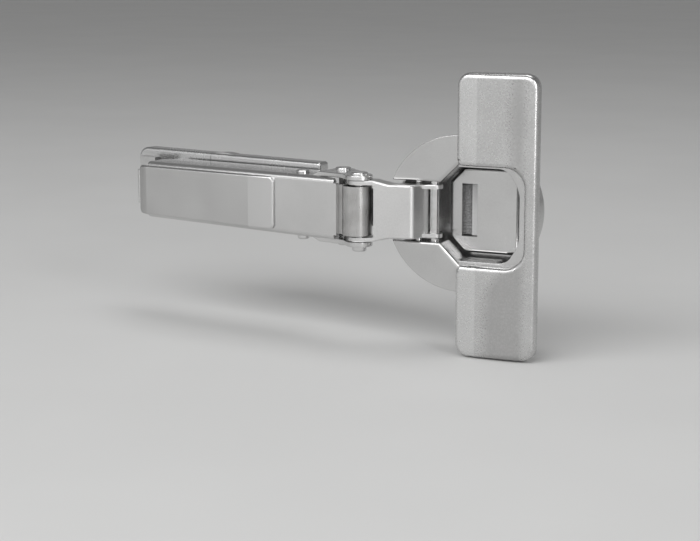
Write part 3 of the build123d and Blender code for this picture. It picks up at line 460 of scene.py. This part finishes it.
def finished(name, bm, axes, material, body, nodes=(), width=None, segments=4):
    """Makes a piece from a mesh drawn in mm, softens its weighed edges, and hands it over."""
    bmesh.ops.remove_doubles(bm, verts=bm.verts, dist=0.0005)
    scaled = Matrix.Diagonal((MM, MM, MM, 1.0)) @ axes
    bmesh.ops.transform(bm, matrix=scaled, verts=bm.verts)
    bmesh.ops.recalc_face_normals(bm, faces=bm.faces)
    mesh = bpy.data.meshes.new(name)
    bm.to_mesh(mesh)
    bm.free()
    if "custom_normal" in mesh.attributes:
        mesh.attributes.remove(mesh.attributes["custom_normal"])
    mesh.shade_smooth()
    mesh.set_sharp_from_angle(angle=sharp_angle)
    mesh.materials.append(material)
    piece = bpy.data.objects.new(name, mesh)
    bpy.context.scene.collection.objects.link(piece)
    if width:
        soften = piece.modifiers.new("soften", "BEVEL")
        soften.limit_method = "WEIGHT"
        soften.width = width * MM
        soften.segments = segments
        soften.profile = 0.5
        soften.use_clamp_overlap = False
    weighted = piece.modifiers.new("even shading", "WEIGHTED_NORMAL")
    weighted.keep_sharp = True
    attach(piece, body)
    if nodes:
        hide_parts(*nodes)


def dress(node, material):
    """Gives a CAD node a better material in the place of its plain one."""
    slots = frame["nodes"][node].material_slots
    if not slots:
        frame["nodes"][node].data.materials.append(material)
    for slot in slots:
        slot.material = material


class HingeFinish(bpy.types.PropertyGroup):
    """Brightness and gloss of the hinge's metals and plastics."""

    sheet_level: bpy.props.FloatProperty(
        name="Sheet metal", description="Brightness of the plated sheet", default=0.58, min=0, max=1
    )
    sheet_roughness: bpy.props.FloatProperty(
        name="Sheet roughness", description="How satin the plated sheet is", default=0.24, min=0, max=1
    )
    cast_level: bpy.props.FloatProperty(
        name="Castings", description="Brightness of the plated castings", default=0.62, min=0, max=1
    )
    cast_roughness: bpy.props.FloatProperty(
        name="Casting roughness", description="How satin the castings are", default=0.26, min=0, max=1
    )
    pin_level: bpy.props.FloatProperty(
        name="Pins", description="Brightness of pins and rivets", default=0.66, min=0, max=1
    )
    slider_level: bpy.props.FloatProperty(
        name="Slider", description="Brightness of the damper's slider", default=0.36, min=0, max=1
    )
    damper_level: bpy.props.FloatProperty(
        name="Damper", description="Brightness of the damper's other plastic", default=0.10, min=0, max=1
    )
    dowel_level: bpy.props.FloatProperty(
        name="Dowels", description="Brightness of the dowels", default=0.16, min=0, max=1
    )


class HingeStage(bpy.types.PropertyGroup):
    """Floor, lights and camera."""

    floor_colour: bpy.props.FloatVectorProperty(
        name="Floor", description="Colour of the floor", subtype="COLOR", default=(0.64, 0.64, 0.635)
    )
    floor_height: bpy.props.FloatProperty(
        name="Floor height", description="Height of the floor", unit="LENGTH", default=-0.0346
    )
    lens: bpy.props.FloatProperty(
        name="Lens", description="Focal length in millimetres on a 36 mm sensor", default=94.1
    )


class HINGE_OT_stage(bpy.types.Operator):
    """Lay the floor, hang the lights and set the camera"""

    bl_idname = "hinge.stage"
    bl_label = "Stage"

    # Each lamp's name, place and size in metres, and power in watts
    lamps = (
        ("strip_light", (0.02, -0.66, 0.56), (1.10, 0.36), 4.6),
        ("right_light", (0.75, -0.36, 0.20), (0.14, 0.60), 1.8),
        ("top_light", (0.05, 0.10, 0.80), (0.50, 0.40), 1.4),
    )
    lamps_aim = Vector((0.045, -0.01, 0.0))
    # Brightness of the studio round the hinge, from level (0) to straight up (1)
    sky = ((0.0, 0.85), (0.20, 0.70), (0.45, 0.55), (0.85, 0.45))
    # The studio is brightest in front, a little to the right, and dimmest behind
    front_turn = math.radians(8)
    front_range = (0.2, 0.9)
    back_strength, front_strength = 0.42, 1.42
    camera_place = (0.2915, -0.3744, 0.06825)
    camera_dip, camera_turn = math.radians(10.7), math.radians(35)

    def execute(self, context):
        settings = context.scene.hinge_stage
        context.scene.view_settings.view_transform = "Standard"
        self.floor(settings)
        self.lights(context)
        self.world(context)
        self.camera(context, settings)
        return {"FINISHED"}

    def floor(self, settings):
        """A wide pale floor with a faint cloud in its colour."""
        bm = bmesh.new()
        bmesh.ops.create_grid(bm, x_segments=1, y_segments=1, size=4.0)
        bmesh.ops.translate(bm, vec=(-1.0, 1.5, settings.floor_height), verts=bm.verts)
        mesh = bpy.data.meshes.new("floor")
        bm.to_mesh(mesh)
        bm.free()
        floor = bpy.data.objects.new("floor", mesh)
        bpy.context.scene.collection.objects.link(floor)
        finish = Finish("floor_paint", Roughness=0.75)
        cloud = finish.noise(60.0, 2.0)
        low = tuple(c * 0.985 for c in settings.floor_colour) + (1.0,)
        high = tuple(min(1.0, c * 1.01) for c in settings.floor_colour) + (1.0,)
        finish.feed("Base Color", finish.mix(cloud.step(0.3, 0.7), low, high))
        mesh.materials.append(finish.material)

    def lights(self, context):
        for name, place, size, watts in self.lamps:
            data = bpy.data.lights.new(name, "AREA")
            data.shape = "RECTANGLE"
            data.size, data.size_y = size
            data.energy = watts
            lamp = bpy.data.objects.new(name, data)
            lamp.location = place
            towards = self.lamps_aim - Vector(place)
            lamp.rotation_euler = towards.to_track_quat("-Z", "Y").to_euler()
            context.scene.collection.objects.link(lamp)

    def world(self, context):
        world = bpy.data.worlds.new("studio")
        world.use_nodes = True
        context.scene.world = world
        nodes = Nodes(world.node_tree)
        direction = nodes.node("ShaderNodeTexCoord").outputs["Generated"]
        stops = [(height, grey(level)) for height, level in self.sky]
        upward = nodes.split(direction, "Z")
        sky = nodes.node("ShaderNodeValToRGB", {"stops": stops}, {"Fac": upward})
        towards = (math.sin(self.front_turn), -math.cos(self.front_turn), 0)
        product = {"operation": "DOT_PRODUCT"}
        front = nodes.node("ShaderNodeVectorMath", product, {0: direction, 1: towards})
        side = nodes.node(
            "ShaderNodeMapRange",
            {"interpolation_type": "SMOOTHSTEP"},
            {
                "Value": front.outputs["Value"],
                "From Min": self.front_range[0],
                "From Max": self.front_range[1],
                "To Min": self.back_strength,
                "To Max": self.front_strength,
            },
        )
        background = nodes.tree.nodes["Background"]
        nodes.tree.links.new(sky.outputs["Color"], background.inputs["Color"])
        nodes.tree.links.new(side.outputs["Result"], background.inputs["Strength"])

    def camera(self, context, settings):
        data = bpy.data.cameras.new("camera")
        data.lens = settings.lens
        data.sensor_width = 36.0
        data.clip_start, data.clip_end = 0.01, 20.0
        camera = bpy.data.objects.new("camera", data)
        camera.location = self.camera_place
        camera.rotation_euler = (math.radians(90) - self.camera_dip, 0, self.camera_turn)
        context.scene.collection.objects.link(camera)
        context.scene.camera = camera


class HINGE_OT_wing_lever(bpy.types.Operator):
    """Shape the wing lever: a hollow casting with a soft far edge and a pocket"""

    bl_idname = "hinge.wing_lever"
    bl_label = "Wing lever"

    left, right, half = 0.1, 20.24, 34.2
    bottom, ceiling, top = 0.15, 2.0, 3.0
    wall, skirt = 0.85, -0.9
    end_corner, pocket_corner, mouth_corner = 3.2, 4.8, 1.5
    pocket_right, pocket_half = 17.1, 12.0
    # The top from the arm's side: a facet, a flat, a slow fall, then the slope of the edge
    facet_end, fall_start, slope_start = 5.4, 12.6, 15.0
    facet_drop, fall_drop, slope = 0.32, 0.08, 0.115
    # Blocks under the top that hold the lever's pins, either side of the rim's lugs
    pin_blocks = ((12.9, 14.8), (16.3, 18.2))

    def execute(self, context):
        bm = bmesh.new()
        outline = [
            (self.left, -self.half),
            (self.right, -self.half),
            (self.right, self.half),
            (self.left, self.half),
            (self.left, self.pocket_half),
            (self.pocket_right, self.pocket_half),
            (self.pocket_right, -self.pocket_half),
            (self.left, -self.pocket_half),
        ]
        flat_face(bm, outline, self.bottom)
        round_corners(bm, self.end_corner, lambda u, z: abs(z) > 33, 10)
        round_corners(bm, self.pocket_corner, lambda u, z: abs(z) < 13 and u > 16, 12)
        round_corners(bm, self.mouth_corner, lambda u, z: abs(z) < 13 and u < 1, 6)
        extrude_up(bm, bm.faces[:], self.top - self.bottom)
        for u in (self.facet_end, self.fall_start, self.slope_start):
            cut_across(bm, (u, 0, 0), (1, 0, 0), near=0.15)
        for z in (31.0, -31.0):
            cut_across(bm, (0, z, 0), (0, 1, 0), near=0.05)
        bmesh.ops.recalc_face_normals(bm, faces=bm.faces)
        for vert in bm.verts:
            if vert.co.z > self.top - 0.01:
                vert.co.z = self.crown(vert.co.x)
        bm.normal_update()
        weigh(bm, self.softness)
        self.hollow(bm)
        for side in (1, -1):
            for low, high in self.pin_blocks:
                near, far = sorted((side * low, side * high))
                brick(bm, (17.5, near, -0.1), (19.6, far, 2.1))
        cast = bpy.data.materials["cast_nickel"]
        body = "wing_lever_body"
        finished("wing_lever_cover", bm, door_axes, cast, body, ["wing_lever"], 1.6, 5)
        return {"FINISHED"}

    def crown(self, u):
        """Height of the top at a place along the door."""
        if u < self.facet_end:
            return self.top - self.facet_drop * (self.facet_end - u) / (self.facet_end - self.left)
        fallen = max(0.0, min(u, self.slope_start) - self.fall_start)
        drop = self.fall_drop * fallen / (self.slope_start - self.fall_start)
        return self.top - drop - self.slope * max(0.0, u - self.slope_start)

    def softness(self, edge):
        """How round an edge is: most at the far side and the ends, less at pocket and arm."""
        place = middle(edge)
        if abs(place.y) < 13 and place.x < 17.3:
            return 0.62
        if place.x < 3.3:
            return 0.55 + 0.078 * (place.x - 0.1)
        return 0.80

    def hollow(self, bm):
        """Opens the underside between thin walls, with deeper skirts at the ends."""
        under = [f for f in bm.faces if f.normal.z < -0.7]
        bmesh.ops.inset_region(bm, faces=under, thickness=self.wall, use_even_offset=True)
        skirts = []
        for face in bm.faces:
            place = face.calc_center_median()
            at_end = abs(place.y) > 31.1 and place.x < 16.8
            if face.normal.z < -0.7 and at_end and face not in under:
                skirts.append(face)
        extrude_up(bm, under, self.ceiling - self.bottom)
        extrude_up(bm, skirts, self.skirt - self.bottom)


class HINGE_OT_rim(bpy.types.Operator):
    """Shape the rim plate: two half-round ears, folded walls and the long base"""

    bl_idname = "hinge.rim"
    bl_label = "Rim plate"

    radius, thick = 19.0, 1.2
    slot_half, throat_half = 7.45, 11.4
    wall_foot, wall_overlap = -6.0, 0.3
    base_right, base_half = 17.0, 31.0
    # The ears' slanted edges start at the slot, this far from the cup's centre
    slant = 4.8
    pin, lug_radius, lug_middle, lug_half = (18.4, 0.9), 0.9, 15.55, 0.55

    def execute(self, context):
        bm = bmesh.new()
        self.ear(bm)
        self.walls(bm)
        add_opposite(bm, (1, -1, 1))
        self.base(bm)
        sheet = bpy.data.materials["stamped_nickel"]
        finished("rim_cover", bm, door_axes, sheet, "cup_body", ["rim_plate"], 0.9, 5)
        return {"FINISHED"}

    def ear(self, bm):
        """A segment of the round rim beside the slot, cut off at 45 degrees to a pointed tip."""
        bmesh.ops.create_circle(bm, cap_ends=True, radius=self.radius, segments=144)
        bmesh.ops.translate(bm, vec=(0, 0, -self.thick), verts=bm.verts)
        slope = Vector((1, -1, 0)).normalized()
        cut_across(bm, (0, self.slot_half, 0), (0, -1, 0), drop=True)
        cut_across(bm, (0, self.slot_half + self.slant, 0), slope, drop=True)
        cut_across(bm, (0, 0, 0), (1, 0, 0), drop=True)
        for u in (-16.9, -16.2, -15.3, -14.2, -13.0):
            cut_across(bm, (u, 0, 0), (1, 0, 0))
        extrude_up(bm, bm.faces[:], self.thick)
        bmesh.ops.recalc_face_normals(bm, faces=bm.faces)
        weigh(bm, self.softness)

    def softness(self, edge):
        """How round an edge is: full at slant and slot, less at the slot's tip and the rim."""
        place = middle(edge)
        if place.x > -0.01:
            return 0.0
        if place.y < self.slot_half + 0.01:
            return min(1.0, max(0.12, (place.x + 17.2) / 4.0))
        if abs(place.y - place.x - self.slot_half - self.slant) < 0.01:
            return 1.0
        return 0.15

    def walls(self, bm):
        """Walls folded down from the slot and the throat."""
        inner = [
            (-14.3, self.slot_half),
            (-4.8, self.slot_half),
            (-0.85, self.throat_half),
            (9.0, self.throat_half),
        ]
        outer = [(9.0, 12.4), (-1.26, 12.4), (-5.28, 8.6), (-14.3, 8.6)]
        face = flat_face(bm, inner + outer, self.wall_foot)
        extrude_up(bm, [face], self.wall_overlap - self.thick - self.wall_foot)

    def base(self, bm):
        """The long base below the wing lever, with lugs for its pins."""
        outline = [
            (0, -self.base_half),
            (self.base_right, -self.base_half),
            (self.base_right, self.base_half),
            (0, self.base_half),
            (0, self.throat_half),
            (12.0, self.throat_half),
            (15.2, 6.5),
            (15.2, -6.5),
            (12.0, -self.throat_half),
            (0, -self.throat_half),
        ]
        part = bmesh.new()
        flat_face(part, outline, -self.thick)
        round_corners(part, 3.0, lambda u, z: abs(z) > 30 and u > 16)
        round_corners(part, 3.0, lambda u, z: abs(z) > 30 and u < 1)
        round_corners(part, 2.0, lambda u, z: abs(z) < 12 and u > 11)
        extrude_up(part, part.faces[:], self.thick)
        bmesh.ops.recalc_face_normals(part, faces=part.faces)
        bevel(part, rim_edges(part, lambda e: middle(e).x > 0.5), 0.3, 3)
        for lug in (self.lug_middle, -self.lug_middle):
            self.lug(part, lug - self.lug_half, lug + self.lug_half)
        join(bm, part)

    def lug(self, part, near, far):
        """A lug that leans out past the base and ends round a pin of the wing lever."""
        brick(part, (15.4, near, -self.thick), (16.9, far, 0.0), 0.1)
        foot = [(15.6, 0.0), (16.6, -1.15), (17.0, -1.15), (18.3, 0.1), (18.4, 0.9), (17.75, 1.55)]
        prism(part, foot, near, far)
        nose = []
        for step in range(32):
            turn = math.tau * step / 32
            u = self.pin[0] + self.lug_radius * math.cos(turn)
            nose.append((u, self.pin[1] + self.lug_radius * math.sin(turn)))
        prism(part, nose, near, far)


class HINGE_OT_channel_floor(bpy.types.Operator):
    """Lay the damper housing's flange, seen as the floor of the channel round its cover"""

    bl_idname = "hinge.channel_floor"
    bl_label = "Channel floor"

    radius, low, thick = 16.3, -9.4, 0.8
    left, hole_right, hole_half = -3.4, 11.6, 8.6

    def execute(self, context):
        bm = bmesh.new()
        bmesh.ops.create_circle(bm, cap_ends=True, radius=self.radius, segments=96)
        bmesh.ops.translate(bm, vec=(0, 0, self.low), verts=bm.verts)
        cut_across(bm, (self.left, 0, 0), (-1, 0, 0), drop=True)
        cut_across(bm, (self.hole_right, 0, 0), (1, 0, 0))
        for z in (self.hole_half, -self.hole_half):
            cut_across(bm, (0, z, 0), (0, 1, 0))
        for face in bm.faces[:]:
            place = face.calc_center_median()
            if place.x < self.hole_right and abs(place.y) < self.hole_half:
                bm.faces.remove(face)
        extrude_up(bm, bm.faces[:], self.thick)
        bmesh.ops.recalc_face_normals(bm, faces=bm.faces)
        weigh(bm, 1.0)
        sheet = bpy.data.materials["stamped_nickel"]
        finished("channel_floor", bm, door_axes, sheet, "cup_body", (), 0.25, 2)
        return {"FINISHED"}


class HINGE_OT_slider(bpy.types.Operator):
    """Shape the damper's slider: a low rough strip and a high smooth one"""

    bl_idname = "hinge.slider"
    bl_label = "Damper slider"

    left, right, half = -3.45, 2.35, 6.3
    bottom, low, high = -10.9, -9.05, -8.25
    rise = (-0.05, 0.15)
    teeth, tooth_half, tooth_height = 14, 0.16, 0.16

    def execute(self, context):
        bm = bmesh.new()
        side = [
            (self.left, self.bottom),
            (self.left, self.low),
            (self.rise[0], self.low),
            (self.rise[1], self.high),
            (self.right, self.high),
            (self.right, self.bottom),
        ]
        prism(bm, side, -self.half, self.half)
        pitch = (2 * self.half - 1.0) / (self.teeth - 1)
        for row in range(self.teeth):
            z = (row - (self.teeth - 1) / 2) * pitch
            start = (self.left + 0.3, z - self.tooth_half, self.low - 0.1)
            end = (-0.3, z + self.tooth_half, self.low + self.tooth_height)
            brick(bm, start, end, 0.06, 1)
        plastic = bpy.data.materials["window_plastic"]
        body = "damper_slider_body"
        finished("slider_cover", bm, door_axes, plastic, body, ["damper_slider"])
        return {"FINISHED"}


class HINGE_OT_cap(bpy.types.Operator):
    """Shape the cover cap with its three facets and its clip legs"""

    bl_idname = "hinge.cap"
    bl_label = "Cover cap"

    rear, rear_half = -27.5, 6.4
    front, front_half = 16.8, 6.7
    base, top = 15.05, 16.3
    corner = 1.3
    # The rear slope and the front facet start here and end this much lower
    rear_slope, rear_drop = -24.4, 0.9
    front_facet, front_drop = 9.35, 0.5
    legs, leg_z = (-20.0, 13.0), 5.0

    def execute(self, context):
        bm = bmesh.new()
        outline = [
            (self.rear, -self.rear_half),
            (self.front, -self.front_half),
            (self.front, self.front_half),
            (self.rear, self.rear_half),
        ]
        flat_face(bm, outline, self.base)
        round_corners(bm, self.corner, lambda x, z: True, 6)
        extrude_up(bm, bm.faces[:], self.top - self.base)
        for x in (self.rear_slope, self.front_facet):
            cut_across(bm, (x, 0, 0), (1, 0, 0))
        for vert in bm.verts:
            if vert.co.z > self.top - 0.01:
                vert.co.z -= self.drop(vert.co.x)
        bmesh.ops.recalc_face_normals(bm, faces=bm.faces)
        weigh(bm, 1.0)
        for x in self.legs:
            for z in (self.leg_z, -self.leg_z):
                brick(bm, (x - 1.2, z - 0.5, self.base - 2.2), (x + 1.2, z + 0.5, self.base + 0.1))
        sheet = bpy.data.materials["cap_nickel"]
        finished("cap_cover", bm, panel_axes, sheet, "arm_body", ["cover_cap"], 0.48, 4)
        return {"FINISHED"}

    def drop(self, x):
        """How far the top lies below its middle facet."""
        if x < self.rear_slope:
            return self.rear_drop * (self.rear_slope - x) / (self.rear_slope - self.rear)
        if x > self.front_facet:
            return self.front_drop * (x - self.front_facet) / (self.front - self.front_facet)
        return 0.0


class HINGE_OT_plate(bpy.types.Operator):
    """Shape the mounting plate with the low bulge on its long edges"""

    bl_idname = "hinge.plate"
    bl_label = "Mounting plate"

    # Half the plate's width in metres, and how much of the bulge past it is kept
    half_width = 0.0093
    bulge_share = 0.35

    def execute(self, context):
        bm = bmesh.new()
        bm.from_mesh(frame["nodes"]["mounting_plate"].data)
        bmesh.ops.remove_doubles(bm, verts=bm.verts, dist=0.00001)
        for vert in bm.verts:
            beyond = abs(vert.co.z) - self.half_width
            if beyond > 0:
                vert.co.z = math.copysign(self.half_width + self.bulge_share * beyond, vert.co.z)
        bmesh.ops.transform(bm, matrix=Matrix.Scale(MM, 4).inverted(), verts=bm.verts)
        sheet = bpy.data.materials["plate_nickel"]
        unturned = Matrix.Identity(4)
        finished("plate_cover", bm, unturned, sheet, "plate_body", ["mounting_plate"])
        return {"FINISHED"}


class HINGE_OT_outer_link(bpy.types.Operator):
    """Shape the outer link: a bent web between two flanges with four eyes"""

    bl_idname = "hinge.outer_link"
    bl_label = "Outer link"

    thick = 1.1
    wide, narrow = 7.55, 6.6
    taper_start, taper_middle, taper_end = -20.9, -18.8, -16.7

    def execute(self, context):
        bm = bmesh.new()
        self.flange(bm)
        add_opposite(bm, (1, 1, -1))
        self.web(bm)
        sheet = bpy.data.materials["link_nickel"]
        body = "outer_link_body"
        finished("outer_link_cover", bm, door_side, sheet, body, ["outer_link"], 0.45, 3)
        return {"FINISHED"}

    def half_width(self, u):
        share = (u - self.taper_start) / (self.taper_end - self.taper_start)
        share = min(1.0, max(0.0, share))
        return self.wide + (self.narrow - self.wide) * share

    def flange(self, bm):
        """One flange with its two eyes, from its side view."""
        outline = [
            (-27.29, 1.29),
            (-24.0, 1.29),
            (-17.9, 0.1),
            (-13.2, -0.9),
            (-10.4, -2.3),
            (-9.35, -4.55),
            (-5.45, -4.55),
            (-5.45, -0.65),
            (-7.9, -0.65),
            (-9.75, -0.31),
            (-11.15, 2.81),
            (-20.4, 4.9),
            (-24.0, 6.89),
            (-27.29, 6.89),
        ]
        flat_face(bm, outline, self.wide - self.thick)
        round_corners(bm, 2.75, lambda u, h: u < -27, 10)
        round_corners(bm, 1.9, lambda u, h: u > -5.6, 8)
        round_corners(bm, 1.5, lambda u, h: abs(u + 9.35) < 0.05 and h < -4, 6)
        round_corners(bm, 0.9, lambda u, h: abs(u + 11.15) < 0.05 and h > 2, 5)
        round_corners(bm, 1.2, lambda u, h: abs(u + 20.4) < 0.05, 4)
        extrude_up(bm, bm.faces[:], self.thick)
        self.cut_taper(bm)
        bmesh.ops.recalc_face_normals(bm, faces=bm.faces)
        weigh(bm, self.softness)
        for vert in bm.verts:
            vert.co.z += self.half_width(vert.co.x) - self.wide

    def softness(self, edge):
        """Round along the web's fold, only broken at the flange's free edges."""
        place = middle(edge)
        return 1.0 if place.x > -20.4 and place.y > 0.25 else 0.5

    def web(self, bm):
        """The sheet between the flanges, folded down behind the cup's pin."""
        part = bmesh.new()
        outline = [
            (-20.4, 4.9),
            (-11.15, 2.81),
            (-8.9, -2.2),
            (-10.0, -2.3),
            (-11.3, 1.73),
            (-20.6, 3.85),
        ]
        flat_face(part, outline, 0.0)
        round_corners(part, 0.9, lambda u, h: abs(u + 11.15) < 0.05, 5)
        round_corners(part, 0.3, lambda u, h: abs(u + 11.3) < 0.05, 3)
        extrude_up(part, part.faces[:], 1.0)
        self.cut_taper(part)
        for vert in part.verts:
            reach = self.half_width(vert.co.x) - self.thick
            vert.co.z = reach if vert.co.z > 0.5 else -reach
        join(bm, part)

    def cut_taper(self, bm):
        for u in (self.taper_start, self.taper_end, self.taper_middle):
            cut_across(bm, (u, 0, 0), (1, 0, 0))


class HINGE_OT_arm(bpy.types.Operator):
    """Shape the arm: a tapering folded channel with two ears for the link pins"""

    bl_idname = "hinge.arm"
    bl_label = "Arm"

    face, foot, rear_foot = 15.0, 5.0, 9.8
    rear, front, wall_front, fold_front = -25.0, 35.7, 29.6, 34.9
    rear_half, front_half = 7.35, 7.8
    sheet, fold = 1.1, 1.4
    # The ears lie outside the walls in front of the jog, and run into them behind it
    ear_near, ear_far = 7.65, 8.75
    jog_rear, jog_front, jog_depth = 26.4, 29.2, 1.12
    pins, boss_radius, boss_proud = ((40.7, 12.3), (32.4, 7.2)), 3.0, 0.04

    def execute(self, context):
        bm = bmesh.new()
        self.channel(bm)
        self.ears(bm)
        metal = bpy.data.materials["arm_nickel"]
        finished("arm_cover", bm, panel_axes, metal, "arm_body", ["arm"], 0.25, 3)
        return {"FINISHED"}

    def half_width(self, x):
        share = (x - self.rear) / (self.front - self.rear)
        return self.rear_half + (self.front_half - self.rear_half) * share

    def channel(self, bm):
        """The face and walls as an open skin, thickened to the sheet."""
        rear, front = self.half_width(self.rear), self.half_width(self.front)
        plan = [(self.rear, -rear), (self.front, -front), (self.front, front), (self.rear, rear)]
        flat_face(bm, plan, self.foot)
        extrude_up(bm, bm.faces[:], self.face - self.foot)
        bmesh.ops.recalc_face_normals(bm, faces=bm.faces)
        bevel(bm, rim_edges(bm, lambda e: abs(middle(e).y) > 5), self.fold, 6)
        for x in (-21.5, self.wall_front, self.fold_front):
            cut_across(bm, (x, 0, 0), (1, 0, 0))
        bm.normal_update()
        loose = [f for f in bm.faces if abs(f.normal.x) > 0.7 or f.normal.z < -0.7]
        for face in bm.faces:
            place = face.calc_center_median()
            if abs(face.normal.y) > 0.9 and place.x > self.wall_front:
                loose.append(face)
            elif abs(face.normal.y) > 0.05 and place.x > self.fold_front:
                loose.append(face)
        bmesh.ops.delete(bm, geom=loose, context="FACES")
        for vert in bm.verts:
            if vert.co.z < self.foot + 0.1 and vert.co.x < self.rear + 0.1:
                vert.co.z = self.rear_foot
        bmesh.ops.recalc_face_normals(bm, faces=bm.faces)
        if sum(f.normal.z for f in bm.faces) < 0:
            bmesh.ops.reverse_faces(bm, faces=bm.faces)
        bmesh.ops.solidify(bm, geom=bm.faces[:], thickness=self.sheet)

    def ears(self, bm):
        """Flat ears outside the channel, with bosses round the two link pins."""
        outline = [
            (25.0, 13.0),
            (36.5, 13.4),
            (38.97, 15.11),
            (41.78, 16.84),
            (45.24, 11.22),
            (34.13, 4.39),
            (25.0, 5.2),
        ]
        part = bmesh.new()
        flat_face(part, [(x, -height) for x, height in outline], self.ear_near)
        round_corners(part, 3.28, lambda x, y: x > 41, 10)
        round_corners(part, 2.2, lambda x, y: abs(x - 34.13) < 0.05, 8)
        extrude_up(part, part.faces[:], self.ear_far - self.ear_near)
        bmesh.ops.recalc_face_normals(part, faces=part.faces)
        bevel(part, rim_edges(part), 0.25, 3)
        for x in (self.jog_rear, self.jog_front):
            cut_across(part, (x, 0, 0), (1, 0, 0))
        for vert in part.verts:
            share = (self.jog_front - vert.co.x) / (self.jog_front - self.jog_rear)
            vert.co.z -= self.jog_depth * min(1.0, max(0.0, share))
        for x, height in self.pins:
            self.boss(part, x, -height)
        add_opposite(part, (1, 1, -1))
        bmesh.ops.transform(part, matrix=panel_axes.inverted(), verts=part.verts)
        join(bm, part)

    def boss(self, part, x, y):
        """A round boss that stands a little proud of both sides of an ear."""
        made = bmesh.ops.create_circle(part, cap_ends=True, radius=self.boss_radius, segments=48)
        ring = made["verts"]
        bmesh.ops.translate(part, vec=(x, y, self.ear_near - self.boss_proud), verts=ring)
        rise = self.ear_far - self.ear_near + 2 * self.boss_proud
        extrude_up(part, [ring[0].link_faces[0]], rise)


class HINGE_OT_metals(bpy.types.Operator):
    """Give the frame's own pieces their metals and plastics"""

    bl_idname = "hinge.metals"
    bl_label = "Metals and plastics"

    def execute(self, context):
        look = context.scene.hinge_finish
        level, rough = look.sheet_level, look.sheet_roughness
        finishes = {
            "plated_steel": stamped_nickel("stamped_nickel", level, rough),
            "cast_zinc": cast_nickel("cast_nickel", look.cast_level, look.cast_roughness),
            "bright_steel": bright_nickel("bright_nickel", look.pin_level),
            "spring_steel": plain_spring("spring_steel"),
            "dark_plastic": moulded_plastic("dark_plastic", look.damper_level),
            "dowel_plastic": moulded_plastic("grey_nylon", look.dowel_level, 0.5),
        }
        # The cap's front facet gets a painted highlight and its rear slope a painted shade
        stamped_nickel("cap_nickel", level, rough, 0.00935, -0.0244)
        # Arm and link: the same plated sheet painted lighter, standing in for the light on them
        stamped_nickel("arm_nickel", level * 1.12, rough)
        stamped_nickel("link_nickel", level * 1.16, rough + 0.08)
        seamed_nickel("plate_nickel", level * 1.05, rough + 0.02)
        window_plastic("window_plastic", look.slider_level)
        for part in frame["record"]["subparts"]:
            dress(part["node"], finishes[part["material_slot"]])
        return {"FINISHED"}


class HINGE_PT_panel(bpy.types.Panel):
    """The hinge's pieces, in the sidebar"""

    bl_idname = "HINGE_PT_panel"
    bl_label = "Hinge"
    bl_space_type = "VIEW_3D"
    bl_region_type = "UI"
    bl_category = "Hinge"

    def draw(self, context):
        for operator in operators:
            self.layout.operator(operator.bl_idname)


operators = (
    HINGE_OT_stage,
    HINGE_OT_metals,
    HINGE_OT_wing_lever,
    HINGE_OT_rim,
    HINGE_OT_channel_floor,
    HINGE_OT_slider,
    HINGE_OT_cap,
    HINGE_OT_plate,
    HINGE_OT_outer_link,
    HINGE_OT_arm,
)
classes = (HingeFinish, HingeStage) + operators + (HINGE_PT_panel,)


def register():
    for cls in classes:
        bpy.utils.register_class(cls)
    bpy.types.Scene.hinge_finish = bpy.props.PointerProperty(type=HingeFinish)
    bpy.types.Scene.hinge_stage = bpy.props.PointerProperty(type=HingeStage)


def unregister():
    del bpy.types.Scene.hinge_finish
    del bpy.types.Scene.hinge_stage
    for cls in reversed(classes):
        bpy.utils.unregister_class(cls)


def main():
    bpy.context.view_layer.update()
    register()
    bpy.ops.hinge.stage()
    bpy.ops.hinge.metals()
    bpy.ops.hinge.wing_lever()
    bpy.ops.hinge.rim()
    bpy.ops.hinge.channel_floor()
    bpy.ops.hinge.slider()
    bpy.ops.hinge.cap()
    bpy.ops.hinge.plate()
    bpy.ops.hinge.outer_link()
    bpy.ops.hinge.arm()


if __name__ == "__main__":
    main()
